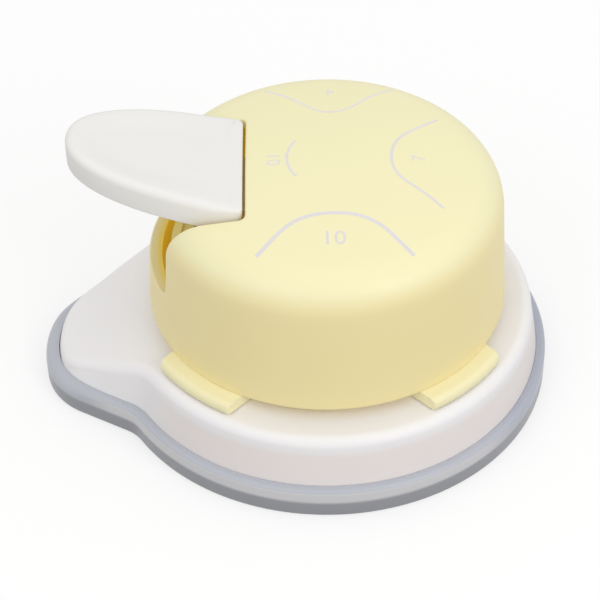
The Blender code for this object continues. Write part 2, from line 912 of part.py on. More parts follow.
def screw(name, at, seat, head_radius, head_height, radius, length, up, parent=None):
    """A screw with a low domed head, its shank pointing up or down from the head's seat."""
    sign = 1 if up else -1
    head = seat - sign * (seat_gap + head_height)
    under = seat - sign * seat_gap
    profile = [
        (0, head),
        (head_radius / 2, head),
        (head_radius, (head + 2 * under) / 3),
        (head_radius, under),
        (radius, under),
        (radius, under + sign * (length - radius / 2)),
        (radius / 2, under + sign * length),
        (0, under + sign * length),
    ]
    if up:
        profile.reverse()
    built = turned(name, profile, at, steps=small_steps)
    return finish(built, (0.62, 0.62, 0.63), 0.3, metallic=1.0, parent=parent)


def base_screws():
    """Four screws from the underside, through base, die plate and cross, into the housing."""
    length = floor_top + screw_bite - boss_bottom
    for i, at in enumerate(around(screw_circle)):
        name = "base_screw_" + str(i + 1)
        screw(name, at, boss_bottom, screw_head_radius, screw_head_height, screw_radius, length, True)


def carrier_screws(parent):
    """Two screws that hold the clamp plate on the carrier."""
    length = clamp_top - carrier_top + carrier_screw_bite
    for i, at in enumerate(carrier_screw_places()):
        screw("carrier_screw_" + str(i + 1), at, clamp_top, carrier_screw_head_radius,
              carrier_screw_head_height, carrier_screw_radius, length, False, parent)


def guide_posts():
    """Two steel posts that stand in the cross and keep the carrier upright."""
    low = cross_top - post_foot
    high = low + post_length
    profile = (
        (0, high),
        (post_radius - post_chamfer, high),
        (post_radius, high - post_chamfer),
        (post_radius, low),
        (0, low),
    )
    for i, at in enumerate(post_places()):
        post = turned("guide_post_" + str(i + 1), profile, at)
        finish(post, (0.66, 0.66, 0.67), 0.25, metallic=1.0)


def spring_points():
    """The spring's centre line: closed turns at both ends and even turns between."""
    low = spring_bottom + spring_wire
    high = spring_top - spring_wire
    open_turns = spring_turns - 2
    open_pitch = (high - low - 2 * spring_closed_pitch) / open_turns
    count = round(spring_turns * 9)
    points = []
    for i in range(count + 1):
        turn = spring_turns * i / count
        middle = min(max(turn - 1, 0), open_turns)
        height = low + open_pitch * middle + spring_closed_pitch * (turn - middle)
        angle = 2 * pi * turn
        points.append(Vector((spring_radius * cos(angle), spring_radius * sin(angle), height)))
    return points


def least_gap(points, wire):
    """The smallest gap between turns of a wound wire, measured point to point."""
    gaps = [
        (a - b).length - 2 * wire
        for i, a in enumerate(points)
        for b in points[i + 7:]
    ]
    return min(gaps)


def return_springs():
    """Two compression springs round the posts, each a helix of round wire."""
    points = spring_points()
    for i, at in enumerate(post_places()):
        name = "return_spring_" + str(i + 1)
        curve = bpy.data.curves.new(name, "CURVE")
        curve.dimensions = "3D"
        curve.bevel_depth = spring_wire
        curve.bevel_resolution = 1
        curve.use_fill_caps = True
        spline = curve.splines.new("POLY")
        spline.points.add(len(points) - 1)
        for control, point in zip(spline.points, points):
            control.co = (*point, 1)
        built = bpy.data.objects.new(name, curve)
        cutters.objects.link(built)
        built.location = (at[0], at[1], 0)
        finish(built, (0.55, 0.55, 0.56), 0.3, metallic=1.0)
    print("least gap in a spring:", round(least_gap(points, spring_wire), 5))


def pad_outline():
    """The lever's pad from above: straight at the cap, then half a full ellipse to the tip."""
    straight = pad_start + pad_straight
    bend = 2 / pad_fullness
    corner = (-pad_start - pad_corner, pad_half_width - pad_corner)
    upper = [(-pad_start, 0)] + arc(corner, pad_corner, 0, pi / 2, 3)
    for i in range(pad_steps + 1):
        turn = pi / 2 + pi / 2 * i / pad_steps
        out = (lever_reach - straight) * abs(cos(turn)) ** bend
        upper.append((-straight - out, pad_half_width * sin(turn) ** bend))
    return mirrored(upper)


def pad_height(x):
    """The pad's top along its middle: rising towards the tip with a slight crown."""
    along = (-pad_start - x) / (lever_reach - pad_start)
    return pad_start_height + pad_rise * along + 4 * pad_crown * along * (1 - along)


def ease(value):
    """A smooth step from 0 to 1."""
    value = min(max(value, 0), 1)
    return value * value * (3 - 2 * value)


def edge_share(x):
    """How much of the edge's rounding the pad has, less where it meets the cap."""
    return hinge_edge_share + (1 - hinge_edge_share) * ease((-pad_start - x) / hinge_edge_reach)


def pad_ring(inset, drop, dish=0.0, share=1.0):
    """One ring of the pad, drawn in from its outline and set below its top."""
    half_length = (lever_reach - pad_start) / 2
    middle = -pad_start - half_length
    points = []
    for x, y in pad_outline():
        reach = inset * edge_share(x) / half_length
        px = middle + (x - middle) * (1 - reach) * share
        py = y * (1 - inset / pad_half_width) * share
        hollow = dish * ease((-pad_start - px) / (lever_reach - pad_start) * 2)
        points.append((px, py, pad_height(px) - drop * edge_share(x) - hollow))
    return points


def lever_pad():
    """The thumb pad: rounded along its edge and slightly dished."""
    foot = pad_foot_fillet
    rings = []
    for share in (0.4, 0.8):
        rings.append([(x, y, z - pad_thickness) for x, y, z in pad_ring(foot, 0, share=share)])
    rings.append([(x, y, z - pad_thickness) for x, y, z in pad_ring(foot, 0)])
    rings.append([(x, y, z + foot - pad_thickness) for x, y, z in pad_ring(0, 0)])
    for i in range(fillet_steps + 1):
        turn = pi / 2 * i / fillet_steps
        rings.append(pad_ring(pad_edge_fillet * (1 - cos(turn)), pad_edge_fillet * (1 - sin(turn))))
    rim = pad_rim - pad_edge_fillet
    for share in (0.33, 0.67, 1.0):
        rings.append(pad_ring(pad_edge_fillet + rim * share, 0, pad_dish * ease(share)))
    rings.append(pad_ring(pad_rim, 0, pad_dish, 0.6))
    rings.append(pad_ring(pad_rim, 0, pad_dish, 0.25))
    middle = -(lever_reach + pad_start) / 2
    low = (middle, 0, pad_height(middle) - pad_thickness)
    high = (middle, 0, pad_height(middle) - pad_dish)
    return loft("press_lever", rings, low, high)


def arm_outline():
    """The lever's arm from the side: rooted in the pad, under the cap, to the pin's boss."""
    step = pad_start + pad_corner
    root_top = arm_top + pad_thickness / 3
    boss = arc((pin_x, pin_height), arm_boss_radius, radians(100), radians(-115), 16)
    return [
        (-arm_root, arm_bottom),
        (-arm_root, root_top),
        (-step, root_top),
        (-step, arm_top),
        (arm_shoulder, arm_top),
        *boss,
        (pin_x - 2 * arm_boss_radius, arm_bottom),
    ]


def press_lever():
    """The white lever: pad, arm, pin boss and the round nose that presses the carrier."""
    lever = lever_pad()
    arm = side_plate("lever_arm", arm_outline(), arm_half_width)
    centre = (0, nose_bottom + nose_radius)
    nose = [(-nose_radius, arm_bottom + arm_thickness / 2)]
    nose += arc(centre, nose_radius, pi, 2 * pi, 10)
    nose += [(nose_radius, arm_bottom + arm_thickness / 2)]
    bore = cylinder("lever_bore", pin_radius + running_gap, -arm_half_width - cut_overrun,
                    arm_half_width + cut_overrun)
    bore.data.transform(Matrix.Translation(pivot) @ Matrix.Rotation(pi / 2, 4, "X"))
    fuse(lever, arm, side_plate("lever_nose", nose, nose_half_width))
    cut(lever, bore)
    lever = settle(lever)
    lever.data.transform(Matrix.Translation(-pivot))
    lever.location = pivot
    return finish(lever, (0.86, 0.85, 0.83), 0.5)


def lever_pin():
    """The headed steel pin through the cheeks, and the ring that keeps it in."""
    head = -cheek_outer - seat_gap
    end = cheek_outer + seat_gap + clip_thickness + pin_overhang
    profile = (
        (0, end),
        (pin_radius - post_chamfer, end),
        (pin_radius, end - post_chamfer),
        (pin_radius, head),
        (pin_head_radius, head),
        (pin_head_radius, head - pin_head_thickness),
        (0, head - pin_head_thickness),
    )
    pin = settle(turned("lever_pin", profile))
    pin.data.transform(Matrix.Rotation(-pi / 2, 4, "X"))
    pin.location = pivot
    finish(pin, (0.66, 0.66, 0.67), 0.25, metallic=1.0)
    low = cheek_outer + seat_gap
    clip = cylinder("pin_clip", clip_radius, low, low + clip_thickness)
    eye = cylinder("clip_eye", pin_radius + running_gap, 0, low + cut_overrun)
    cut(clip, eye)
    clip = settle(clip)
    clip.data.transform(Matrix.Rotation(-pi / 2, 4, "X"))
    clip.location = pivot
    bpy.data.objects.remove(eye)
    finish(clip, (0.30, 0.30, 0.32), 0.35, metallic=1.0)


def domed(centre_radius, centre_height, fillet, side_steps, dome_steps):
    """The section of a dome that runs smoothly into a fillet, from its middle to the upright side."""
    lean = 2 * atan(cap_crown / centre_radius)
    dome = centre_radius / sin(lean) + fillet
    top = centre_height + fillet + cap_crown
    points = [(0, top)]
    for i in range(1, dome_steps):
        turn = lean * i / dome_steps
        points.append((dome * sin(turn), top - dome * (1 - cos(turn))))
    return points + arc((centre_radius, centre_height), fillet, pi / 2 - lean, 0, side_steps)


def cap_profile():
    """The cap's outline from the middle of its top, down the outside and up the inside."""
    flat = cap_radius - cap_draft - cap_fillet
    inner_fillet = cap_fillet - cap_wall
    inside = domed(flat, cap_under - inner_fillet, inner_fillet, 4, 2)
    return [
        *domed(flat, cap_top_height - cap_fillet, cap_fillet, 7, 3),
        (cap_radius, cap_bottom),
        (cap_radius - cap_wall, cap_bottom),
        *reversed(inside),
    ]


def lever_slot():
    """The slot that the lever comes out of: through the top and down the wall to its sill."""
    half = pad_half_width + slot_side_gap
    sill = cap_bottom + slot_sill
    top = cap_top_height + cap_crown + cut_overrun
    outline = [
        *arc((-half + slot_corner, sill + slot_corner), slot_corner, pi, 3 * pi / 2, 4),
        *arc((half - slot_corner, sill + slot_corner), slot_corner, 3 * pi / 2, 2 * pi, 4),
        (half, top),
        (-half, top),
    ]
    start = pad_start - slot_end_gap
    slot = cross_plate("lever_slot", outline, -cap_radius - cut_overrun, -start)
    return slot


def cap_cover():
    """The round cap with the lever's slot and four snap hooks inside."""
    cap = turned("cap_cover", cap_profile(), steps=cap_steps)
    hook_top = floor_top + snap_rise - seat_gap
    hooks = [
        snap_lug(housing_wall_radius + seat_gap, cap_radius - cap_wall / 2,
                 hook_top - snap_height, hook_top, pi / 4 + i * pi / 2)
        for i in range(4)
    ]
    fuse(cap, group("cap_hooks", hooks))
    cut(cap, lever_slot())
    return finish(cap, (0.92, 0.85, 0.52), 0.4)


def empty_at(name, place):
    """An empty that marks what moves together."""
    marker = bpy.data.objects.new(name, None)
    marker.location = place
    pieces.objects.link(marker)
    return marker


def build():
    """Make every piece of the punch."""
    chip_tray()
    base_body()
    die_plate()
    guide_cross()
    guide_housing()
    slide = empty_at("punch_slide", (0, 0, thrust_top))
    for name, blade, size, turn in punches:
        punch(name, blade, size, turn, slide)
    punch_carrier(slide)
    clamp_plate(slide)
    carrier_screws(slide)
    guide_posts()
    return_springs()
    press_lever()
    lever_pin()
    base_screws()
    cap_cover()


for old in list(bpy.data.objects):
    bpy.data.objects.remove(old)
pieces = new_collection("corner_rounder_punch")
cutters = new_collection("cutters")
build()
print("stroke:", round(stroke, 6))
print("least spring height:", round(spring_bottom, 6))
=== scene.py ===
# %% [markdown]
# # A corner rounder punch
# This lesson dresses the solid model of a desk punch that rounds the corners of paper. A soft yellow
# cap stands on a white base, a white lever hinges in the cap, and a smoky tray under the base catches
# the chips. The solid model is loaded first, because every visible piece is built round it and moves
# with one of its bodies.

# %% Load the solid model
from math import asin, atan, atan2, cos, hypot, pi, radians, sin, sqrt, tan

import bmesh
import bpy
from mathutils import Matrix, Vector
from mathutils.geometry import delaunay_2d_cdt

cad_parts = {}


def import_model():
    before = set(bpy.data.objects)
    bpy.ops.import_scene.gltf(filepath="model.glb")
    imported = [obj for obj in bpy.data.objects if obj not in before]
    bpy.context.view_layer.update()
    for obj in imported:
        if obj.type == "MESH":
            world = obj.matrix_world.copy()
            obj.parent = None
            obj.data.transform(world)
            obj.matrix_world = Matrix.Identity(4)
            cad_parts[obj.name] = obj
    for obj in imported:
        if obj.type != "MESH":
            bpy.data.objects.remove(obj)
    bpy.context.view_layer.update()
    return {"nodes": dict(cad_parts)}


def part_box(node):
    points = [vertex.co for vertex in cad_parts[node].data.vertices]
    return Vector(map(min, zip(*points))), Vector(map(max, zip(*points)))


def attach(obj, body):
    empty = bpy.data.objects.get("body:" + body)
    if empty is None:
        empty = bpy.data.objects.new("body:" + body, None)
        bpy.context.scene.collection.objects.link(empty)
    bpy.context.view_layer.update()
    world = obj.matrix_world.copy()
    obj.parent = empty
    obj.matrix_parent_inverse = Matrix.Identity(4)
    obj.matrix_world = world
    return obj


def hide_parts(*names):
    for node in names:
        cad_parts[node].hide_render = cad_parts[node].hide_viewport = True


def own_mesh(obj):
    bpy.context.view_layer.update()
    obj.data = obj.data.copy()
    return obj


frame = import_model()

mm = 0.001

# %% [markdown]
# ## The camera
# The picture was taken with a long lens from in front and above. The circles of tray, base and cap
# all have one axis, and how much each one is flattened gives the camera's height angle. A camera's
# matrix holds its own right, up and backward directions, so the small roll is two lines of sums.

# %% Place the camera
camera_place = Vector((-5.875, -318.72, 307.39)) * mm
camera_drop = radians(42.38)
camera_roll = radians(-1.2416)
camera_lens = 119.78


def place_camera():
    """Aim a long lens at the punch from in front and above."""
    level_right = Vector((1, 0, 0))
    level_up = Vector((0, sin(camera_drop), cos(camera_drop)))
    right = cos(camera_roll) * level_right + sin(camera_roll) * level_up
    up = cos(camera_roll) * level_up - sin(camera_roll) * level_right
    camera = bpy.data.objects.new("camera", bpy.data.cameras.new("camera"))
    camera.data.lens = camera_lens
    camera.data.sensor_width = 36.0
    camera.data.clip_start = 10 * mm
    turn = Matrix((right, up, right.cross(up))).transposed().to_4x4()
    camera.matrix_world = Matrix.Translation(camera_place) @ turn
    bpy.context.scene.collection.objects.link(camera)
    bpy.context.scene.camera = camera
    return camera


print("camera at", [round(c, 3) for c in place_camera().matrix_world.translation])

# %% [markdown]
# ## Building node trees in Python
# A material or a geometry tree is a set of nodes with wires between them. `Wire` stands for the end
# of one wire, and Python's own signs on it add Math nodes, so a mask can be written as a sum. Every
# other node comes from `Tree.node`, which sets a node's options first and then feeds its sockets.

# %% Wires and trees
class Wire:
    """An output socket that can be used in sums."""

    def __init__(self, tree, socket):
        self.tree = tree
        self.socket = socket

    def sum(self, operation, first, second):
        """One Math node."""
        return self.tree.node("ShaderNodeMath", {"operation": operation}, {0: first, 1: second})

    def __add__(self, other):
        return self.sum("ADD", self, other)

    def __sub__(self, other):
        return self.sum("SUBTRACT", self, other)

    def __rsub__(self, other):
        return self.sum("SUBTRACT", other, self)

    def __mul__(self, other):
        return self.sum("MULTIPLY", self, other)

    def __pow__(self, other):
        return self.sum("POWER", self, other)

    def at_least(self, other):
        """The larger of two values."""
        return self.sum("MAXIMUM", self, other)

    __radd__ = __add__
    __rmul__ = __mul__


class Tree:
    """A node tree that is filled node by node."""

    def __init__(self, nodes_and_links):
        self.inner = nodes_and_links

    def node(self, kind, settings=None, sockets=None, output=0):
        """Add a node, set its options, feed its sockets and return one of its outputs."""
        made = self.inner.nodes.new(kind)
        for name, value in (settings or {}).items():
            setattr(made, name, value)
        for name, value in (sockets or {}).items():
            self.feed(value, made.inputs[name])
        return Wire(self, made.outputs[output]) if made.outputs else None

    def feed(self, value, socket):
        """Link a wire to a socket, or set the socket's own value."""
        if isinstance(value, Wire):
            self.inner.links.new(value.socket, socket)
        else:
            socket.default_value = value


print("wires and trees are ready")

# %% [markdown]
# ## Finishes
# Moulded plastic is never one flat colour. Its pigment drifts a little, its gloss is patchy where it
# has been handled, and the mould's fine spark grain breaks up the highlights. Each finish reads
# Object coordinates, which are metres here, so a scale of 5000 gives grain of a fifth of a millimetre.

# %% The finish builder
class Finish(Tree):
    """A material whose plain values are set on its shader and whose patterns are wired in."""

    def __init__(self, name, **plain):
        self.material = bpy.data.materials.new(name)
        self.material.use_nodes = True
        super().__init__(self.material.node_tree)
        self.shader = self.inner.nodes["Principled BSDF"]
        self.wire(**plain)
        self.place = self.node("ShaderNodeTexCoord", output="Object")

    def wire(self, **patterns):
        """Feed patterns or plain values to the shader."""
        for socket, value in patterns.items():
            self.feed(value, self.shader.inputs[socket.replace("_", " ")])

    def along(self, axis):
        """The place along the X, Y or Z axis, in metres."""
        return self.node("ShaderNodeSeparateXYZ", None, {0: self.place}, axis)

    def from_axis(self):
        """The distance from the cap's axis, in metres."""
        flat = self.node("ShaderNodeVectorMath", {"operation": "MULTIPLY"}, {0: self.place, 1: (1, 1, 0)})
        return self.node("ShaderNodeVectorMath", {"operation": "LENGTH"}, {0: flat}, "Value")

    def speckle(self, scale, detail, stretch=(1, 1, 1)):
        """Noise between 0 and 1, which may be drawn out along one direction."""
        place = self.node("ShaderNodeMapping", None, {"Vector": self.place, "Scale": stretch})
        return self.node("ShaderNodeTexNoise", None, {"Vector": place, "Scale": scale, "Detail": detail})

    def stepped(self, value, low, high):
        """Stretch a pattern so that it runs from 0 at one value to 1 at another."""
        return self.node("ShaderNodeMapRange", {"interpolation_type": "SMOOTHSTEP"},
                         {0: value, 1: low, 2: high})

    def blend(self, mask, first, second):
        """Mix two colours by a mask."""
        return self.node("ShaderNodeMix", {"data_type": "RGBA"}, {0: mask, 6: first, 7: second}, 2)

    def relief(self, height, depth):
        """Bump the surface by a pattern."""
        self.wire(Normal=self.node("ShaderNodeBump", None, {"Height": height, "Distance": depth}))


def shade_of(colour, share=1.0):
    """A colour made lighter or darker, with its alpha."""
    return (*[min(c * share, 1.0) for c in colour], 1.0)


def moulded(name, colour, roughness, grain, drift=0.015, zones=(), glow=None, ior=1.46):
    """Moulded plastic with pigment drift, handled patches and a fine mould grain.

    Zones have a colour of their own: painted light where a place looks lit, painted shade where it
    looks shaded. The glow is painted light, an emission for the light that seeps through thin
    plastic; with zones, only the last one has it.
    """
    finish = Finish(name, IOR=ior)
    cloud = finish.speckle(45, 3.0)
    patch = finish.speckle(150, 2.0)
    fine = finish.speckle(5200, 1.0)
    tint = finish.blend(cloud, shade_of(colour, 1 - drift), shade_of(colour, 1 + drift))
    painted_zone = 1.0
    for mask, zone_colour in zones:
        painted_zone = mask(finish)
        tint = finish.blend(painted_zone, tint, shade_of(zone_colour))
    # The glow is painted light: an emission over the last zone, or over the whole piece when there are no
    # zones.
    if glow:
        finish.wire(Emission_Color=finish.blend(painted_zone, shade_of((0, 0, 0)), shade_of(glow)),
                    Emission_Strength=1.0)
    finish.wire(Base_Color=tint, Roughness=roughness - 0.04 + patch * 0.06 + fine * 0.03)
    finish.relief(fine + patch * 0.4, grain)
    return finish.material


def metal(name, colour, roughness, stretch, depth, scale=900):
    """Bare metal with fine lines drawn out along one direction."""
    finish = Finish(name, Metallic=1.0)
    lines = finish.speckle(scale, 3.0, stretch)
    stain = finish.speckle(120, 2.0)
    tint = finish.blend(lines * 0.6 + stain * 0.4, shade_of(colour, 0.86), shade_of(colour, 1.08))
    finish.wire(Base_Color=tint, Roughness=roughness - 0.08 + lines * 0.14 + stain * 0.05)
    finish.relief(lines, depth)
    return finish.material


print("finish builder is ready")

# %% [markdown]
# ## The colours
# The cap, the cross and the inner housing are one pale yellow plastic. The housing shows only in the
# slot's shade, so its own yellow is painted darker and deeper as shade. The base and the lever are a
# warm white with a duller grain. The tray is a smoky, bluish plastic. Light that passes through thin
# walls, or bounces between the pieces, and the way the lamps fall change a shade from place to place,
# and real transmission would cost much time for little. So each such place is a mask with a colour
# of its own, which is painted light where the place looks lit and painted shade where it looks
# shaded, and the thin yellow shells glow faintly with painted light.

# %% Masks for the zones
def cap_wall_mask(finish):
    """One on the cap's upright wall, which gets painted shade: a stronger, darker yellow than the top's."""
    return finish.stepped(finish.from_axis(), 34.5 * mm, 37.3 * mm)


def cap_inside_mask(finish):
    """One inside the cap's shell, painted deep shade with a painted glow, by the distance from the line that
    its edge's fillet turns about.
    """
    fillet_radius = 28.0 * mm
    fillet_height = 43.9 * mm
    crown = 2.6 * mm
    wall_slope = 0.0575
    height, radius = finish.along("Z"), finish.from_axis()
    dome = (1 - radius * radius * (1 / fillet_radius ** 2)).at_least(0) * crown
    up = (height - dome - fillet_height).at_least(0)
    out = (radius - (fillet_height - height).at_least(0) * wall_slope - fillet_radius).at_least(0)
    return finish.stepped((up * up + out * out) ** 0.5, 8.3 * mm, 6.0 * mm)


def base_side_mask(finish):
    """One on the upright side of the base's disc, which gets painted shade: darker and warmer than its top.
    """
    low = finish.stepped(finish.along("Z"), 15.6 * mm, 13.6 * mm)
    return low * finish.stepped(finish.along("X"), -40 * mm, -30 * mm)


def tray_rim_mask(finish):
    """One below the disc's ledge, painted lighter, where the rounded edge and the upper side catch more
    light.
    """
    low = finish.stepped(finish.along("Z"), 6.6 * mm, 6.2 * mm)
    return low * finish.stepped(finish.from_axis(), 56 * mm, 50 * mm)


def tray_back_mask(finish):
    """One at the back of the tray, away from the spout, which gets painted shade: darker and bluer."""
    return finish.stepped(finish.along("X"), 30 * mm, 42 * mm)


def tray_side_mask(finish):
    """One on the lower half of the tray's side, which gets painted shade: a much darker smoky grey."""
    return finish.stepped(finish.along("Z"), 4.4 * mm, 3.3 * mm)


print("zone masks are ready")

# %% Mix the finishes
# The cap's wall zone and inside zone are painted shade, and its glow is painted light.
cap_finish = moulded(
    "cap_yellow", (0.905, 0.850, 0.525), 0.42, 0.010 * mm, glow=(0.11, 0.075, 0.002),
    zones=((cap_wall_mask, (0.90, 0.775, 0.40)), (cap_inside_mask, (0.80, 0.60, 0.10))))
cross_finish = moulded("cross_yellow", (0.90, 0.835, 0.52), 0.42, 0.010 * mm)
# The housing shows only in the slot's shade, so its yellow is painted shade, darker and deeper than the
# cap's, and its glow is painted light.
housing_painted_shade_and_glow = moulded("housing_yellow", (0.84, 0.70, 0.26), 0.5, 0.020 * mm, glow=(0.10, 0.08, 0.02))
# The base's side zone is painted shade.
base_finish = moulded("base_white", (0.880, 0.864, 0.867), 0.46, 0.012 * mm, 0.01,
                      zones=((base_side_mask, (0.85, 0.792, 0.772)),))
lever_finish = moulded("lever_white", (0.845, 0.828, 0.80), 0.5, 0.012 * mm, 0.01)
# The tray's rim zone is painted light, and its back and side zones are painted shade.
tray_finish = moulded(
    "tray_smoke", (0.475, 0.49, 0.543), 0.3, 0.010 * mm, 0.03, ior=1.49,
    zones=((tray_rim_mask, (0.63, 0.62, 0.635)), (tray_back_mask, (0.42, 0.445, 0.52)),
           (tray_side_mask, (0.30, 0.305, 0.33))))
carrier_finish = moulded("carrier_black", (0.02, 0.02, 0.022), 0.5, 0.030 * mm, 0.1, ior=1.5)
die_finish = metal("ground_steel", (0.56, 0.57, 0.58), 0.32, (1, 12, 1), 0.008 * mm)
punch_finish = metal("tool_steel", (0.60, 0.61, 0.62), 0.28, (12, 12, 1), 0.006 * mm)
clamp_finish = metal("stamped_zinc", (0.55, 0.56, 0.56), 0.38, (1, 1, 1), 0.012 * mm, 400)
turned_finish = metal("turned_steel", (0.66, 0.66, 0.67), 0.22, (1, 1, 14), 0.004 * mm)
pin_finish = metal("pin_steel", (0.66, 0.66, 0.67), 0.22, (1, 14, 1), 0.004 * mm)
screw_finish = metal("zinc_screw", (0.64, 0.64, 0.62), 0.3, (1, 1, 6), 0.006 * mm)
wire_finish = metal("spring_wire", (0.58, 0.58, 0.58), 0.28, (1, 1, 1), 0.004 * mm, 1500)
clip_finish = metal("blackened_clip", (0.09, 0.09, 0.10), 0.4, (1, 1, 1), 0.006 * mm, 1500)
foil_finish = metal("silver_foil", (0.80, 0.77, 0.775), 0.34, (1, 1, 1), 0.003 * mm, 2500)
print(len(bpy.data.materials), "materials, the solid model's own included")

# %% [markdown]
# ## Small tools
# Most pieces here are either a stack of outlines skinned into a body or a flat outline given
# thickness. Both are a few lines of bmesh. `baked` turns an object and its modifiers into one plain
# mesh, and `piece` gives it its finish and the body that it rides on.

# %% Meshes from outlines
upright = Matrix.Rotation(pi / 2, 4, "X")


def about_axis(turn):
    """A turn about the cap's axis."""
    return Matrix.Rotation(turn, 4, "Z")


def in_mm(points):
    """Points or an outline given in millimetres."""
    return [(x * mm, y * mm) for x, y in points]


def new_object(name, mesh):
    """An object for a mesh."""
    made = bpy.data.objects.new(name, mesh)
    bpy.context.scene.collection.objects.link(made)
    return made


def from_bmesh(name, body, recalculate=True):
    """An object from a bmesh, its faces turned outwards."""
    if recalculate:
        bmesh.ops.recalc_face_normals(body, faces=body.faces)
    mesh = bpy.data.meshes.new(name)
    body.to_mesh(mesh)
    body.free()
    return new_object(name, mesh)


def skin(name, rings, low_pole=None, high_pole=None):
    """A closed body over a stack of outlines with equally many points."""
    body = bmesh.new()
    loops = [[body.verts.new(point) for point in ring] for ring in rings]
    for lower, upper in zip(loops, loops[1:]):
        for i, corner in enumerate(lower):
            body.faces.new((lower[i - 1], corner, upper[i], upper[i - 1]))
    for loop, pole in ((loops[0], low_pole), (loops[-1], high_pole)):
        if pole is None:
            body.faces.new(loop)
        else:
            tip = body.verts.new(pole)
            for i, corner in enumerate(loop):
                body.faces.new((loop[i - 1], corner, tip))
    return from_bmesh(name, body)


def slab(name, outline, low, high, turn=None):
    """A flat outline given thickness, and turned if a matrix is given."""
    body = bmesh.new()
    face = body.faces.new([body.verts.new((x, y, low)) for x, y in outline])
    raised = bmesh.ops.extrude_face_region(body, geom=[face])
    lifted = [item for item in raised["geom"] if isinstance(item, bmesh.types.BMVert)]
    bmesh.ops.translate(body, verts=lifted, vec=(0, 0, high - low))
    if turn:
        bmesh.ops.transform(body, matrix=turn, verts=body.verts)
    return from_bmesh(name, body)


def baked(made):
    """Replace an object by the plain mesh that its modifiers give."""
    bpy.context.view_layer.update()
    seen = made.evaluated_get(bpy.context.evaluated_depsgraph_get())
    mesh = bpy.data.meshes.new_from_object(seen)
    mesh.transform(made.matrix_world)
    name = made.name
    bpy.data.objects.remove(made)
    return new_object(name, mesh)


def joined(name, members):
    """Put several objects into one mesh."""
    body = bmesh.new()
    for member in members:
        body.from_mesh(member.data)
        bpy.data.objects.remove(member)
    return from_bmesh(name, body, recalculate=False)


def bevelled(made, width, steps=3):
    """Round an object's edges."""
    edge = made.modifiers.new("Round the edges", "BEVEL")
    edge.width = width
    edge.segments = steps
    edge.limit_method = "ANGLE"
    edge.angle_limit = radians(35)
    return baked(made)


def carved(made, tools):
    """Cut tools out of an object."""
    for tool in tools:
        cut = made.modifiers.new("Cut", "BOOLEAN")
        cut.operation = "DIFFERENCE"
        cut.object = tool
        cut.solver = "EXACT"
    result = baked(made)
    for tool in tools:
        bpy.data.objects.remove(tool)
    return result


def piece(made, finish, body, slot, *nodes, angle=radians(40)):
    """Finish an object as a visible piece: shading, material, body and the nodes it replaces. The slot is not
    used.
    """
    made.data.shade_smooth()
    made.data.set_sharp_from_angle(angle=angle)
    made.data.materials.clear()
    made.data.materials.append(finish)
    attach(made, body)
    if nodes:
        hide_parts(*nodes)
    made.data.calc_loop_triangles()
    print(made.name, "has", len(made.data.loop_triangles), "triangles")
    return made


print("mesh tools are ready")

# %% Arcs, fillets and turned bodies
def polar(radius, turn, centre=(0, 0)):
    """The point at a distance from a centre, in a direction."""
    return centre[0] + radius * cos(turn), centre[1] + radius * sin(turn)


def arc(centre, radius, start, end, steps):
    """Points on an arc, both ends included."""
    return [polar(radius, start + (end - start) * i / steps, centre) for i in range(steps + 1)]


def quarter(steps):
    """A fillet of radius 1: how far in and how far below the top it is at each step, bottom first."""
    turns = [pi / 2 * i / steps for i in range(steps + 1)]
    return [(1 - cos(turn), 1 - sin(turn)) for turn in turns]


def softened(points, steps=5):
    """An open line of (x, y, radius) points with each inner corner rounded by its radius."""
    result = [points[0][:2]]
    for before, here, after in zip(points, points[1:], points[2:]):
        corner = Vector(here[:2])
        back = (Vector(before[:2]) - corner).normalized()
        ahead = (Vector(after[:2]) - corner).normalized()
        half = back.angle(ahead) / 2
        reach = here[2] / tan(half)
        centre = corner + (back + ahead).normalized() * here[2] / sin(half)
        first = corner + back * reach - centre
        last = corner + ahead * reach - centre
        start = atan2(first.y, first.x)
        sweep = (atan2(last.y, last.x) - start + pi) % (2 * pi) - pi
        result += arc(centre, here[2], start, start + sweep, steps)
    return result + [points[-1][:2]]


def turned(name, profile, steps=40, at=(0, 0)):
    """A body of revolution from (radius, height) points that start and end on the axis."""
    turns = [2 * pi * i / steps for i in range(steps)]
    rings = [[(*polar(radius, turn, at), height) for turn in turns] for radius, height in profile[1:-1]]
    return skin(name, rings, (*at, profile[0][1]), (*at, profile[-1][1]))


print("outline tools are ready")

# %% [markdown]
# ## One outline for tray and base
# Seen from above, tray and base share a teardrop: a disc, a round spout, and a hollow on each side
# that blends them. An inset moves the whole line inwards at an even distance, so one function gives
# the tray's rim, the base's foot and the inside of its wall. Where the inset changes along the
# spout, each point slides between the outline and a deeper one.

# %% The teardrop
disc_radius = 47.53 * mm
spout_reach = 61.9 * mm
spout_side = 41.05 * mm
spout_lean = radians(30)
end_radius = 27.0 * mm
corner_radius = 16.0 * mm
hollow_radius = 9.0 * mm


def ease(value):
    """A smooth step from 0 to 1."""
    value = min(max(value, 0), 1)
    return value * value * (3 - 2 * value)


def mirrored(upper):
    """A closed outline from its upper half, whose two ends lie on the X axis."""
    return upper + [(x, -y) for x, y in reversed(upper[1:-1])]


def spout_corner():
    """The middle of the corner arc, which runs smoothly into the spout's side and its blunt end."""
    slope = 1 / tan(spout_lean)
    offset = (spout_side - corner_radius) / sin(spout_lean) - spout_reach + end_radius
    root = sqrt((end_radius - corner_radius) ** 2 * (slope ** 2 + 1) - offset ** 2)
    y = (offset * slope - root) / (slope ** 2 + 1)
    return -(spout_side - corner_radius - y * cos(spout_lean)) / sin(spout_lean), y


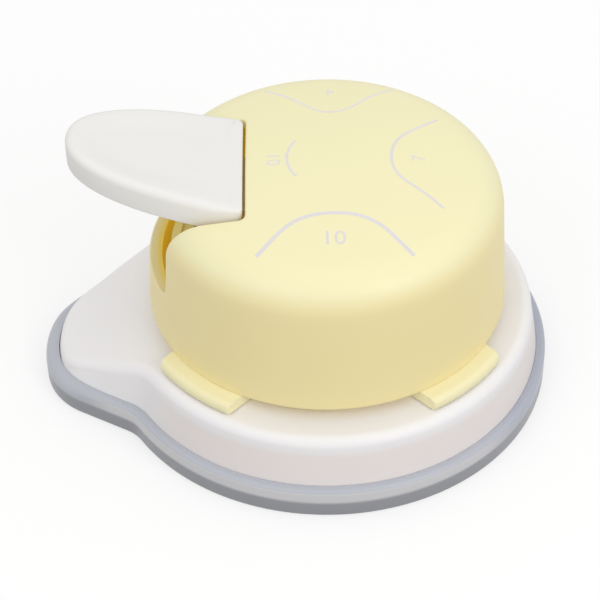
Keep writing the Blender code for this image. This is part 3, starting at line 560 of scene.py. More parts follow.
def teardrop(inset):
    """The shared outline, moved inwards."""
    normal = Vector((-sin(spout_lean), cos(spout_lean)))
    along = Vector((cos(spout_lean), sin(spout_lean)))
    reach = spout_side + hollow_radius
    hollow = normal * reach - along * sqrt((disc_radius + hollow_radius) ** 2 - reach ** 2)
    meet = atan2(hollow.y, hollow.x)
    disc = arc((0, 0), disc_radius - inset, 0, meet, 80)
    sweep = arc(hollow, hollow_radius + inset, meet - pi, spout_lean - pi / 2, 10)
    corner = spout_corner()
    turn = atan2(corner[1], corner[0] + spout_reach - end_radius)
    tip = arc(corner, corner_radius - inset, spout_lean + pi / 2, turn, 18)
    tip += arc((end_radius - spout_reach, 0), end_radius - inset, turn, pi, 8)[1:]
    straight = [tuple(Vector(sweep[-1]).lerp(Vector(tip[0]), i / 6)) for i in range(1, 6)]
    return mirrored(disc + sweep[1:] + straight + tip)


def ring(outline, height):
    """An outline at a height that may follow X."""
    return [(x, y, height(x)) for x, y in outline]


def level(height):
    """A height that is the same everywhere."""
    return lambda x: height


def inset_ring(inset, height):
    """A ring whose inset follows the X of the outline, and whose height follows its own."""
    reach = 5 * mm
    points = []
    for (x, y), (deep_x, deep_y) in zip(teardrop(0), teardrop(reach)):
        share = inset(x) / reach
        moved = x + (deep_x - x) * share
        points.append((moved, y + (deep_y - y) * share, height(moved)))
    return points


print("teardrop outline of", len(teardrop(0)), "points")

# %% [markdown]
# ## The chip tray
# The tray is a shallow dish pushed on from below. From outside it shows an upright side and a narrow
# flat ledge against the base, with a rounded edge between them. Its cross-section is one open line
# with fillets. The rim gets lower, wider and rounder at the tip, so there are two such lines, and
# each of their points becomes one ring that eases from the first to the second down the spout.

# %% Build the chip tray
foot_inset = 2.05 * mm
tip_foot_inset = 3.1 * mm
tray_top = 7.0 * mm
tip_tray_top = 6.2 * mm
tray_floor = 1.6 * mm
tray_fillet = 0.7 * mm
rim_edge = 0.1 * mm
seat_gap = 0.05 * mm
tip_start = 48.0 * mm
tip_blend = 10.0 * mm


def tray_section(wall, top, rounding):
    """The tray's cross-section as insets and heights, from its floor round the wall to its underside."""
    return softened(((5.0 * mm, tray_floor), (wall, tray_floor, tray_fillet), (wall, top, rim_edge),
                     (0, top, rounding), (0, 0, tray_fillet), (3.0 * mm, 0)))


def to_tip(first, second):
    """A value that eases from the disc's to the tip's along the spout."""
    return lambda x: first + (second - first) * ease((-x - tip_start) / tip_blend)


sections = zip(tray_section(foot_inset - seat_gap, tray_top, 1.0 * mm),
               tray_section(tip_foot_inset - seat_gap, tip_tray_top, 2.3 * mm))
rings = [inset_ring(to_tip(inset, tip_inset), to_tip(height, tip_height))
         for (inset, height), (tip_inset, tip_height) in sections]
piece(skin("tray_shell", rings), tray_finish, "tray", "chip_tray", "chip_tray")

# %% [markdown]
# ## Where the blades are
# Four punches stand round the axis, one for each side. Three round a corner by an arc and one bites
# a quarter disc out of it. The base, its well and the yellow cross all have openings of these
# shapes, so the outlines come first and the pieces cut themselves with them.

# %% Blade outlines and their cutters
notch_apex = 15.2 * mm
blade_margin = 0.8 * mm
blade_flat = 0.5 * mm
screw_circle = 27 * mm
diagonals = [pi / 4 + i * pi / 2 for i in range(4)]
screw_places = [polar(screw_circle, turn) for turn in diagonals]


def back_flat(spread):
    """The narrow flat at a blade's inner corner."""
    apex = notch_apex - (blade_margin + spread) * sqrt(2) + blade_flat
    return [(apex, -blade_flat), (apex, blade_flat)]


def corner_blade(radius, spread):
    """A blade that rounds a corner."""
    along = Vector(polar(1, pi / 4))
    normal = Vector((-along.y, along.x))
    end = Vector(polar(radius, pi / 4, (notch_apex, 0))) + along * (1.0 * mm + spread)
    front = end - normal * spread
    back = end + normal * (blade_margin + spread)
    edge = arc((notch_apex + radius * sqrt(2), 0), radius - spread, 3 * pi / 4, 5 * pi / 4, 11)
    sides = [tuple(front), *edge, (front.x, -front.y), (back.x, -back.y)]
    return sides + back_flat(spread) + [tuple(back)]


def scallop_blade(radius, spread):
    """A blade that bites a quarter disc."""
    half = pi / 4 + asin((blade_margin + spread) / (radius + spread))
    return arc((notch_apex, 0), radius + spread, -half, half, 13) + back_flat(spread)[::-1]


blades = (
    (corner_blade, 7 * mm, 0.0),
    (corner_blade, 4 * mm, pi / 2),
    (scallop_blade, 10 * mm, pi),
    (corner_blade, 10 * mm, 3 * pi / 2),
)


def blade_tools(name, spread, low, high):
    """One upright cutter for each blade, a little wider than the blade."""
    return joined(name, [slab(name, outline(size, spread), low, high, about_axis(turn))
                         for outline, size, turn in blades])


print(len(blades), "blades and", len(screw_places), "screw places")

# %% [markdown]
# ## The base
# The base is a shell whose sides lean in above the tray. It has a soft edge all round, and a top
# that is level under the cap and eases down the spout. A round well in the middle holds the die
# plate. The outline shrinks from the edge to the well's circle in even steps.

# %% The base's top and side
base_edge = 18.0 * mm
base_crown = 0.3 * mm
ramp_start = 31.2 * mm
ramp_end = 57.7 * mm
ramp_drop = 9.7 * mm
ramp_soft = 0.45
side_slant = 1.4 * mm
tip_slant = 0.2 * mm
slant_start = 51.0 * mm
foot = to_tip(foot_inset, tip_foot_inset)
fillet = to_tip(2.4 * mm, 1.5 * mm)


def ramp_height(x):
    """The base's top: level round the disc, easing into a slope down the spout."""
    along = (-ramp_start - x) / (ramp_end - ramp_start)
    if along <= 0:
        return base_edge
    fall = along ** 2 / (2 * ramp_soft) if along < ramp_soft else along - ramp_soft / 2
    return base_edge - ramp_drop * fall / (1 - ramp_soft / 2)


def side_lean(x):
    """How far the side leans in above the tray, less at the spout's low tip."""
    return side_slant + (tip_slant - side_slant) * ease((-x - slant_start) / tip_blend)


def circle_under(outline, radius):
    """A circle with one point towards each point of an outline."""
    return [polar(radius, atan2(y, x)) for x, y in outline]


def between(outer, inner, share):
    """An outline part of the way from one to another."""
    return [(a[0] + (b[0] - a[0]) * share, a[1] + (b[1] - a[1]) * share) for a, b in zip(outer, inner)]


def edge_ring(inwards, below):
    """One ring of the fillet between the leaning side and the top."""
    return inset_ring(lambda x: foot(x) + side_lean(x) + fillet(x) * inwards,
                      lambda x: ramp_height(x) - fillet(x) * below)


print("the ramp drops", round((base_edge - ramp_height(-ramp_end)) / mm, 1), "mm")

# %% Build the base
base_roof = 2.2 * mm
skirt_inset = 5.2 * mm
skirt_bottom = 1.9 * mm
well_radius = 30.3 * mm
well_floor = 16.0 * mm
well_outside = 32.3 * mm
well_bottom = 12.0 * mm


def base_rings():
    """The base's rings, from under its well, out under the skirt and over the top."""
    inner = teardrop(skirt_inset)
    under = circle_under(inner, well_outside)
    rings = [ring(under, level(well_bottom))]
    rings += [ring(between(under, inner, i / 8), lambda x: ramp_height(x) - base_roof) for i in range(9)]
    rings.append(ring(inner, level(skirt_bottom)))
    rings.append(inset_ring(lambda x: foot(x) + 0.5 * mm, level(skirt_bottom)))
    rings.append(inset_ring(foot, level(skirt_bottom + 0.7 * mm)))
    rings.append(inset_ring(foot, lambda x: min(ramp_height(x) - fillet(x) - 0.9 * mm, tray_top)))
    rings += [edge_ring(inwards, below) for inwards, below in quarter(10)]
    top = [(x, y) for x, y, _ in rings[-1]]
    well = circle_under(top, well_radius)
    for i in range(1, 17):
        rise = base_crown * ease(i / 12)
        rings.append(ring(between(top, well, i / 16), lambda x: ramp_height(x) + rise))
    return rings + [ring(well, level(well_floor))]


def base_stiffeners():
    """The screw bosses and the ribs that tie them to the skirt."""
    boss = in_mm([(0, 12.5), (4.0, 12.5), (4.0, 6.3), (3.7, 6.0), (1.55, 6.0), (1.55, 7.0), (0, 7.0)])
    rib = in_mm([(30, 9.5), (43.6, 9.5), (43.6, 17.0), (33, 17.0), (33, 12.5), (30, 12.5)])
    made = []
    for turn, place in zip(diagonals, screw_places):
        made.append(turned("boss", boss, 32, place))
        made.append(slab("rib", rib, -0.7 * mm, 0.7 * mm, about_axis(turn) @ upright))
    return made


base = carved(skin("base_shell", base_rings()), [blade_tools("windows", 1.2 * mm, 8 * mm, 17 * mm)])
piece(joined("base_shell", [base] + base_stiffeners()), base_finish, "tool", "base_body", "base_body")

# %% [markdown]
# ## The guide cross
# A square notch on each side squares up the corner of the sheet. What shows of the cross is the four
# round ends of its arms, which stand out under the cap like tabs. Their outer ends are rounded over
# and their sides are cut straight, so each ring keeps the notches and only shortens the arms.

# %% Build the guide cross
cross_reach = 41.8 * mm
cross_bottom = 18.4 * mm
cross_top = 21.0 * mm
cross_fillet = 1.5 * mm
arm_corner = 0.5 * mm
arm_shorter = radians(2.7)


def arm_end(reach, start, end):
    """The outer end of one arm: an arc about the axis with two small corner fillets."""
    side = (start + end) / 2
    inner = reach - arm_corner
    offset = asin((reach * sin((end - start) / 2) - arm_corner) / inner)
    first = arc(polar(inner, side - offset), arm_corner, side - pi / 2, side - offset, 8)
    middle = arc((0, 0), reach, side - offset, side + offset, 16)
    last = arc(polar(inner, side + offset), arm_corner, side + offset, side + pi / 2, 8)
    return first + middle[1:-1] + last


def cross_ring(reach, height):
    """Four arms and the notch between each pair. The arms are a little shorter towards the X axis."""
    spread = asin(notch_apex * sin(pi / 4) / reach)
    outline = []
    for i, middle in enumerate(diagonals):
        low, high = (0, arm_shorter) if i % 2 else (arm_shorter, 0)
        outline += arm_end(reach, middle - spread + low, middle + spread - high)
        outline.append(polar(notch_apex, middle + pi / 4))
    return ring(outline, level(height))


rings = [cross_ring(cross_reach - 0.3 * mm, cross_bottom), cross_ring(cross_reach, cross_bottom + 0.4 * mm)]
rings += [cross_ring(cross_reach - cross_fillet * inwards, cross_top - cross_fillet * below)
          for inwards, below in quarter(8)]
cross = carved(skin("notched_cross", rings), [blade_tools("mouths", 0.3 * mm, 17 * mm, 23 * mm)])
piece(cross, cross_finish, "tool", "guide_cross", "guide_cross")

# %% [markdown]
# ## The cap's surface
# The cap is a turned shape with a slot, and the slot's edge is rounded. A boolean would leave a hard
# edge and thin slivers there. Instead the outside of the cap is unrolled flat, like peel: a point is
# a distance along the profile and a direction. The slot is drawn on that flat sheet, and the sheet
# is rolled back up.

# %% The cap's profile
cap_top = 52.6 * mm
cap_bottom = 20.95 * mm
cap_radius = 38.0 * mm
cap_fillet = 8.7 * mm
cap_roof = 2.6 * mm
cap_wall = 2.7 * mm
cap_crown = 2.6 * mm
fillet_height = cap_top - cap_fillet
cap_lean = atan(1.3 * mm / (fillet_height - cap_bottom))
flat_radius = cap_radius - (cap_fillet + sin(cap_lean) * (fillet_height - cap_bottom)) / cos(cap_lean)
fillet_end = (flat_radius + cap_fillet * cos(cap_lean), fillet_height + cap_fillet * sin(cap_lean))
dome_turn = 2 * atan(cap_crown / flat_radius)
dome_radius = flat_radius / sin(dome_turn) + cap_fillet
dome_edge = dome_radius * sin(dome_turn)
dome_length = dome_radius * dome_turn
fillet_length = cap_fillet * (pi / 2 - dome_turn - cap_lean)
wall_length = hypot(cap_radius - fillet_end[0], fillet_end[1] - cap_bottom)
sheet_radius = dome_length + fillet_length + wall_length


def cap_section(reach):
    """Radius, height and outward direction at a distance along the profile from the middle of the top."""
    if reach <= dome_length:
        turn = reach / dome_radius
        return (dome_radius * sin(turn), cap_top + cap_crown - dome_radius * (1 - cos(turn)),
                sin(turn), cos(turn))
    if reach <= dome_length + fillet_length:
        turn = pi / 2 - dome_turn - (reach - dome_length) / cap_fillet
        return (flat_radius + cap_fillet * cos(turn), fillet_height + cap_fillet * sin(turn),
                cos(turn), sin(turn))
    share = (reach - dome_length - fillet_length) / wall_length
    radius = fillet_end[0] + (cap_radius - fillet_end[0]) * share
    height = fillet_end[1] + (cap_bottom - fillet_end[1]) * share
    return radius, height, cos(cap_lean), sin(cap_lean)


def cap_inside(reach):
    """Radius and height of the inner surface behind a point of the profile."""
    radius, height, out, up = cap_section(reach)
    if reach <= dome_length + fillet_length:
        wall = cap_roof + (cap_wall - cap_roof) * max(reach - dome_length, 0) / fillet_length
        return radius - wall * out, height - wall * up
    share = (reach - dome_length - fillet_length) / wall_length
    return radius - cap_wall * (out + (1 - out) * share), height - cap_wall * up * (1 - share)


def unrolled(point):
    """Where a point of the cap's outside lies on the flat sheet."""
    radius = hypot(point[0], point[1])
    turn = atan2(point[2] - fillet_height, radius - flat_radius)
    if radius <= dome_edge:
        reach = dome_radius * asin(radius / dome_radius)
    elif turn > cap_lean:
        reach = dome_length + cap_fillet * (pi / 2 - dome_turn - turn)
    else:
        share = (fillet_end[1] - point[2]) / (fillet_end[1] - cap_bottom)
        reach = dome_length + fillet_length + wall_length * share
    return Vector((point[0], point[1])).normalized() * reach


def cap_point(flat, drop=0.0):
    """The point of the cap for a point of the flat sheet, sunk below the surface if asked."""
    radius, height, out, up = cap_section(flat.length)
    way = flat.normalized() if flat.length else Vector((1, 0))
    return Vector((*(way * (radius - drop * out)), height - drop * up))


print("the unrolled cap is", round(2 * sheet_radius / mm, 1), "mm across")

# %% [markdown]
# ## The slot on the sheet
# The slot starts at the lever's hinge end, runs straight out over the cap's edge and down the wall
# to a sill with round corners. Lines at small distances round it carry the lip: each is sunk a
# little deeper than the last, on a quarter circle.

# %% Draw the slot's edge
slot_start = 16.5 * mm
slot_half = 16.4 * mm
slot_sill = 32.5 * mm
sill_corner = 3.5 * mm
slot_corner = 1.4 * mm
lip = 0.55 * mm
lip_margin = 0.55 * mm


def wall_point(y, z):
    """The point of the wall's outside on the lever's side at a given y and z."""
    share = (fillet_end[1] - z) / (fillet_end[1] - cap_bottom)
    radius = fillet_end[0] + (cap_radius - fillet_end[0]) * share
    return Vector((-sqrt(radius ** 2 - y ** 2), y, z))


def slot_edge():
    """The slot's edge on the cap's outside, once round."""
    plan = [(-slot_start, (slot_half - slot_corner) * i / 12) for i in range(13)]
    plan += arc((-slot_start - slot_corner, slot_half - slot_corner), slot_corner, 0, pi / 2, 6)[1:]
    half = [cap_point(unrolled((x, y, cap_top))) for x, y in plan]
    start = unrolled(half[-1]).length
    stop = unrolled(wall_point(slot_half, slot_sill + sill_corner)).length
    steps = 44
    for i in range(1, steps):
        radius, height = cap_section(start + (stop - start) * i / steps)[:2]
        half.append(Vector((-sqrt(radius ** 2 - slot_half ** 2), slot_half, height)))
    wall = arc((slot_half - sill_corner, slot_sill + sill_corner), sill_corner, 0, -pi / 2, 8)
    wall += [((slot_half - sill_corner) * (1 - i / 13), slot_sill) for i in range(1, 14)]
    half += [wall_point(y, z) for y, z in wall]
    return half + [Vector((p.x, -p.y, p.z)) for p in reversed(half[1:-1])]


def moved_out(edge, distance):
    """The slot's edge moved over the surface, away from the slot."""
    result = []
    for i, point in enumerate(edge):
        ahead = (edge[(i + 1) % len(edge)] - edge[i - 1]).normalized()
        way = Vector((point.x, point.y, 0)).normalized()
        out, up = cap_section(unrolled(point).length)[2:]
        normal = way * out + Vector((0, 0, up))
        result.append(unrolled(point + normal.cross(ahead) * -distance))
    return result


edge = slot_edge()
print("slot edge of", len(edge), "points")

# %% [markdown]
# ## Rolling the cap up
# The sheet is filled with rings of evenly spaced points, apart from where the slot and its lip are,
# and a constrained Delaunay triangulation joins everything without crossing the lip's lines. The
# same triangles, moved in by the wall's thickness, make the inside.

# %% Fill the sheet with points
def lip_lines(loop_at):
    """Lines round an edge with the depth that each is sunk, on a quarter circle."""
    return [(loop_at(lip * inwards), lip * below) for inwards, below in quarter(5)]


def rim_circle(distance):
    """A circle near the sheet's outer edge."""
    return [Vector(polar(sheet_radius - distance, 2 * pi * i / 190)) for i in range(190)]


def inside(point, outline):
    """Whether a point lies in a closed outline."""
    hit = False
    for a, b in zip(outline, outline[-1:] + outline[:-1]):
        if (a.y > point.y) != (b.y > point.y):
            if point.x < a.x + (b.x - a.x) * (point.y - a.y) / (b.y - a.y):
                hit = not hit
    return hit


def sheet_points(guard):
    """Rings of points over the sheet, apart from those near the slot."""
    points = [Vector((0, 0))]
    row_step = 1.15 * mm
    point_step = 1.25 * mm
    count = int((sheet_radius - lip) / row_step)
    for i in range(1, count):
        reach = (sheet_radius - lip - row_step * 0.5) * i / (count - 0.5)
        number = max(6, round(2 * pi * cap_section(reach)[0] / point_step))
        row = [Vector(polar(reach, 2 * pi * (j + 0.5 * (i % 2)) / number)) for j in range(number)]
        points += [point for point in row if not inside(point, guard)]
    return points


lines = lip_lines(lambda distance: moved_out(edge, distance)) + lip_lines(rim_circle)
filling = sheet_points(moved_out(edge, lip + lip_margin))
print(len(filling), "points fill the sheet")

# %% Triangulate and roll up
def sheet_triangles():
    """The sheet's points, how deep each is sunk, and its triangles without the slot."""
    flats = []
    drops = []
    fixed = []
    for loop, drop in lines:
        first = len(flats)
        flats += loop
        drops += [drop] * len(loop)
        fixed += [(first + i, first + (i + 1) % len(loop)) for i in range(len(loop))]
    flats += filling
    drops += [0.0] * len(filling)
    found, _, faces, origins, _, _ = delaunay_2d_cdt(flats, fixed, [], 0, 1e-9, True)
    depth = [drops[origin[0]] if origin else 0.0 for origin in origins]
    slot = lines[0][0]
    kept = [f for f in faces if not inside(sum((found[i] for i in f), Vector((0, 0))) / 3, slot)]
    return found, depth, kept


def inner_point(flat, near_slot):
    """The inside's point, which keeps its own y beside the slot so that the slot's sides are flat."""
    radius, height = cap_inside(flat.length)
    way = flat.normalized() if flat.length else Vector((1, 0))
    outside = cap_section(flat.length)[0]
    turn = atan2(way.y, way.x)
    if near_slot and abs(way.y * outside) < radius:
        straight = pi - asin(way.y * outside / radius)
        turn += near_slot * ((straight - turn + pi) % (2 * pi) - pi)
    return Vector((*polar(radius, turn), height))


def slot_nearness(point):
    """One at the slot's edge, falling to nothing 7 mm away from it."""
    gap = min((point - other).length for other in edge[::3])
    return ease(1 - (gap - 1 * mm) / (6 * mm))


def roll_up():
    """The cap's shell."""
    flats, depth, triangles = sheet_triangles()
    body = bmesh.new()
    outer = [body.verts.new(cap_point(flat, drop)) for flat, drop in zip(flats, depth)]
    inner = [body.verts.new(inner_point(flat, slot_nearness(cap_point(flat)) if flat.x < 0 else 0))
             for flat in flats]
    for face in triangles:
        body.faces.new([outer[i] for i in face])
        body.faces.new([inner[i] for i in reversed(face)])
    pairs = dict(zip(outer, inner))
    rim = [e.verts[:] for e in body.edges if len(e.link_faces) == 1 and e.verts[0] in pairs]
    for a, b in rim:
        body.faces.new((a, b, pairs[b], pairs[a]))
    loose = [v for v in body.verts if not v.link_faces]
    bmesh.ops.delete(body, geom=loose, context="VERTS")
    return from_bmesh("cap_shell", body)


cap = roll_up()
print(len(cap.data.polygons), "faces in the cap's shell")

# %% [markdown]
# ## The cap's hooks
# Inside the wall, four small hooks snap under lugs on the housing and hold the cap down. They are
# plain blocks with softened edges, sunk a little into the wall that they grow from.

# %% Add the hooks and finish the cap
hook_bottom = 26.6 * mm
hook_top = 28.6 * mm
hook_edge = 0.25 * mm


def hook(turn):
    """One snap hook inside the wall."""
    outline = in_mm([(33.1, -3), (36.6, -3), (36.6, 3), (33.1, 3)])
    return bevelled(slab("hook", outline, hook_bottom, hook_top, about_axis(turn)), hook_edge, 2)


cap = joined("cap_shell", [cap] + [hook(turn) for turn in diagonals])
piece(cap, cap_finish, "tool", "cap_cover", "cap_cover", angle=radians(50))

# %% [markdown]
# ## The lever
# The thumb pad starts straight at the hinge end and finishes in half an ellipse, a little fuller
# than a true one. It rises towards its tip, its edge is well rounded there and crisp at the cap, and
# its top is dished inside a rim. Rings drawn in from the outline carry the edge's roundness first
# and the dish after it.

# %% The pad's shape
pad_start = 17.0 * mm
lever_reach = 52.4 * mm
pad_length = lever_reach - pad_start
pad_middle = -pad_start - pad_length / 2
pad_half = 15.2 * mm
pad_corner = 1.5 * mm
pad_fullness = 2.25
pad_low = 54.35 * mm
pad_rise = 9.0 * mm
pad_crown = 0.8 * mm
pad_thickness = 6.4 * mm
pad_fillet = 1.9 * mm
pad_foot_fillet = 0.5 * mm
pad_rim = 8.2 * mm
pad_dish = 0.6 * mm
straight_end = 18.1 * mm


def pad_outline():
    """The pad from above."""
    upper = [(-pad_start, pad_half * i / 8 * 0.9) for i in range(8)]
    upper += arc((-pad_start - pad_corner, pad_half - pad_corner), pad_corner, 0, pi / 2, 8)
    for x, y in arc((0, 0), 1, pi / 2, pi, 48):
        out = (lever_reach - straight_end) * abs(x) ** (2 / pad_fullness)
        upper.append((-straight_end - out, pad_half * y ** (2 / pad_fullness)))
    return mirrored(upper)


def pad_height(x):
    """The pad's top along its middle: rising to the tip with a slight crown."""
    along = (-pad_start - x) / pad_length
    return pad_low + pad_rise * along + pad_crown * along * (1 - along)


def edge_share(x):
    """How much of its roundness the edge has, less where it meets the cap."""
    return 0.25 + 0.75 * ease((-pad_start - x) / (8 * mm))


def pad_ring(inset, drop, dish=0.0, share=1.0):
    """One ring of the pad, drawn in from its outline and sunk below its top."""
    points = []
    for x, y in pad_outline():
        px = pad_middle + (x - pad_middle) * (1 - inset * edge_share(x) / (pad_length / 2)) * share
        py = y * (1 - inset / pad_half) * share
        hollow = dish * ease((-pad_start - px) / pad_length * 2)
        points.append((px, py, pad_height(px) - drop * edge_share(x) - hollow))
    return points


def lowered(points, depth):
    """Points moved down."""
    return [(x, y, z - depth) for x, y, z in points]


def thumb_pad():
    """The pad, from the middle of its underside over the edge to the middle of its top."""
    rings = [lowered(pad_ring(pad_foot_fillet, 0, share=share), pad_thickness)
             for share in (0.2, 0.4, 0.6, 0.8, 0.93)]
    rings += [lowered(pad_ring(pad_foot_fillet * inset, 0), pad_thickness - pad_foot_fillet * rise)
              for rise, inset in quarter(4)]
    rings += [pad_ring(pad_fillet * inwards, pad_fillet * below) for inwards, below in quarter(9)]
    rings += [pad_ring(pad_fillet + (pad_rim - pad_fillet) * i / 8, 0, pad_dish * ease(i / 8))
              for i in range(1, 9)]
    rings += [pad_ring(pad_rim, 0, pad_dish, share) for share in (0.85, 0.7, 0.55, 0.4, 0.25, 0.1)]
    height = pad_height(pad_middle)
    return skin("thumb_lever", rings, (pad_middle, 0, height - pad_thickness),
                (pad_middle, 0, height - pad_dish))


print("pad outline of", len(pad_outline()), "points")

# %% [markdown]
# Under the cap the pad turns into a flat arm. The arm ends in a round boss on the pin, and a round
# nose under it presses the punches down. These are side views given thickness, with their edges
# eased and the pin's bore cut out.

# %% Build the lever
pivot = (25.0, 43.5)
arm_half = 9 * mm
nose_half = 4.5 * mm
arm_edge = 0.4 * mm


def lever_arm():
    """The arm with its boss and the nose."""
    boss = arc(pivot, 4.2, radians(100), radians(-115), 28)
    side = [(-24, 44.2), (-24, 51.4), (-18.5, 51.4), (-18.5, 49.2), (8, 49.2), *boss, (16.6, 44.2)]
    arm = bevelled(slab("arm", in_mm(side), -arm_half, arm_half, upright), arm_edge)
    bore = turned("bore", in_mm([(0, -12), (1.7, -12), (1.7, 12), (0, 12)]))
    bore.data.transform(Matrix.Translation((pivot[0] * mm, 0, pivot[1] * mm)) @ upright)
    tip = [(-2.5, 46.0), *arc((0, 41.01), 2.5, pi, 2 * pi, 20), (2.5, 46.0)]
    nose = slab("nose", in_mm(tip), -nose_half, nose_half, upright)
    return [carved(arm, [bore]), bevelled(nose, arm_edge)]


lever = joined("thumb_lever", [thumb_pad()] + lever_arm())
piece(lever, lever_finish, "lever", "press_lever", "press_lever", angle=radians(50))

# %% [markdown]
# ## Springs and screws with Geometry Nodes
# Both springs are the same wound wire, and the screws are two kinds used four and two times. A
# geometry tree puts one pattern object on each point of a small mesh, turned by a seeded random
# angle, makes the copies real and gives them their finish.

# %% The repeating tree
def repeat_tree(name):
    """A tree that puts a pattern object on each point."""
    group = bpy.data.node_groups.new(name, "GeometryNodeTree")
    inputs = {"Places": "Geometry", "Pattern": "Object", "Most turn": "Float", "Finish": "Material"}
    for title, kind in inputs.items():
        group.interface.new_socket(title, in_out="INPUT", socket_type="NodeSocket" + kind)
    group.interface.new_socket("Result", in_out="OUTPUT", socket_type="NodeSocketGeometry")
    tree = Tree(group)
    places = tree.node("NodeGroupInput")
    ports = {port.name: Wire(tree, port) for port in places.socket.node.outputs}
    pattern = tree.node("GeometryNodeObjectInfo", None, {"Object": ports["Pattern"]}, "Geometry")
    turn = tree.node("FunctionNodeRandomValue", {"data_type": "FLOAT"},
                     {2: 0.0, 3: ports["Most turn"], "Seed": 7}, 1)
    tilt = tree.node("ShaderNodeCombineXYZ", None, {"Z": turn})
    copies = tree.node("GeometryNodeInstanceOnPoints", None,
                       {"Points": places, "Instance": pattern, "Rotation": tilt})
    real = tree.node("GeometryNodeRealizeInstances", None, {"Geometry": copies})
    made = tree.node("GeometryNodeSetMaterial", None, {"Geometry": real, "Material": ports["Finish"]})
    tree.node("NodeGroupOutput", None, {"Result": made})
    return group


def repeated(name, pattern, places, most_turn, finish):
    """One mesh with a copy of the pattern at each place."""
    mesh = bpy.data.meshes.new(name)
    mesh.from_pydata([tuple(place) for place in places], [], [])
    holder = new_object(name, mesh)
    modifier = holder.modifiers.new("Repeat", "NODES")
    modifier.node_group = repeat_tree(name)
    values = {"Pattern": pattern, "Most turn": most_turn, "Finish": finish}
    for item in modifier.node_group.interface.items_tree:
        if item.name in values:
            modifier[item.identifier] = values[item.name]
    result = baked(holder)
    bpy.data.objects.remove(pattern)
    return result


print("repeating tree is ready")

# %% [markdown]
# The return springs stand round the guide posts between the housing and the carrier. A spring of
# this kind has a closed turn at each end, so the wire's height rises slowly there and quickly in
# between.

# %% Wind the springs
spring_low = 22.6 * mm
spring_high = 33.3099 * mm
spring_radius = 2.4 * mm
spring_turns = 5.5
steps_per_turn = 28
closed_pitch = 1.15 * mm
wire_radius = 0.35 * mm
post_setback = 8.2 * mm


def wire_path():
    """The spring's centre line about the Z axis."""
    low = spring_low + wire_radius
    high = spring_high - wire_radius
    open_turns = spring_turns - 2
    open_pitch = (high - low - 2 * closed_pitch) / open_turns
    count = round(spring_turns * steps_per_turn)
    points = []
    for i in range(count + 1):
        turn = spring_turns * i / count
        middle = min(max(turn - 1, 0), open_turns)
        height = low + open_pitch * middle + closed_pitch * (turn - middle)
        points.append((*polar(spring_radius, 2 * pi * turn), height))
    return points


def wound_wire():
    """The wound wire as a mesh."""
    curve = bpy.data.curves.new("wound_wire", "CURVE")
    curve.dimensions = "3D"
    curve.bevel_depth = wire_radius
    curve.bevel_resolution = 3
    curve.use_fill_caps = True
    path = wire_path()
    line = curve.splines.new("POLY")
    line.points.add(len(path) - 1)
    for control, point in zip(line.points, path):
        control.co = (*point, 1)
    return baked(new_object("wound_wire", curve))


springs = repeated("return_springs", wound_wire(), [(0, -post_setback, 0), (0, post_setback, 0)],
                   0.0, wire_finish)
piece(springs, wire_finish, "tool", "return_spring_1", "return_spring_1", "return_spring_2")
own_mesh(springs)

# %% [markdown]
# The base screws go up from below, with their heads under the base. The carrier screws hold the
# clamp plate from above. Each has a low domed head with a cross recess, cut before it is repeated.

# %% Make and place the screws
screw_turn = 1.4
base_screw_seat = 5.7 * mm
carrier_screw_setback = 8.5 * mm
carrier_head_height = 1.0 * mm


def screw_pattern(head_radius, head_height, radius, length):
    """A screw pointing down, its head's seat at the origin."""
    profile = softened((
        (0, head_height), (head_radius * 0.72, head_height, 0.2 * mm),
        (head_radius, head_height * 0.35, 0.25 * mm), (head_radius, 0, 0.1 * mm), (radius, 0, 0.1 * mm),
        (radius, -length + radius / 2, 0.2 * mm), (radius / 2, -length, 0.1 * mm), (0, -length),
    ), 4)
    long, narrow = head_radius * 0.55, head_radius * 0.12
    recess = [slab("recess", [(-a, -b), (a, -b), (a, b), (-a, b)], head_height * 0.3, head_height * 2)
              for a, b in ((long, narrow), (narrow, long))]
    return carved(turned("screw", profile), recess)


base_pattern = screw_pattern(2.6 * mm, 1.5 * mm, 1.25 * mm, 22.7 * mm)
base_pattern.data.transform(Matrix.Rotation(pi, 4, "X"))
base_places = [(x, y, base_screw_seat) for x, y in screw_places]
base_screws = repeated("base_screws", base_pattern, base_places, screw_turn, screw_finish)
piece(base_screws, screw_finish, "tool", "base_screw_1", *["base_screw_" + str(i) for i in range(1, 5)])
clamp_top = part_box("carrier_screw_1")[1].z - carrier_head_height
carrier_pattern = screw_pattern(2.0 * mm, carrier_head_height, 1.0 * mm, 5.1 * mm)
carrier_places = [(side * carrier_screw_setback, 0, clamp_top) for side in (-1, 1)]
carrier_screws = repeated("carrier_screws", carrier_pattern, carrier_places, screw_turn, screw_finish)
piece(carrier_screws, screw_finish, "punches", "carrier_screw_1", "carrier_screw_1", "carrier_screw_2")

# %% [markdown]
# ## The printed marks
# Each side of the cap's top shows the corner that its punch cuts, hot-stamped in silver foil, with
# its size beside it. An image could carry the marks, but a mesh stays sharp close up. A mark is a
# smooth line through a few points, drawn as a ribbon that lies on the cap's surface.

# %% Lay the foil
foil_rise = 0.012 * mm
foil_depth = 0.05 * mm
digit_share = 0.7


def on_cap(x, y, rise=foil_rise):
    """The point of the cap's top above a place in plan."""
    radius = hypot(x, y)
    if radius > dome_edge:
        height = fillet_height + sqrt(cap_fillet ** 2 - (radius - flat_radius) ** 2)
    else:
        height = cap_section(unrolled((x, y, cap_top)).length)[1]
    return (x, y, height + rise)


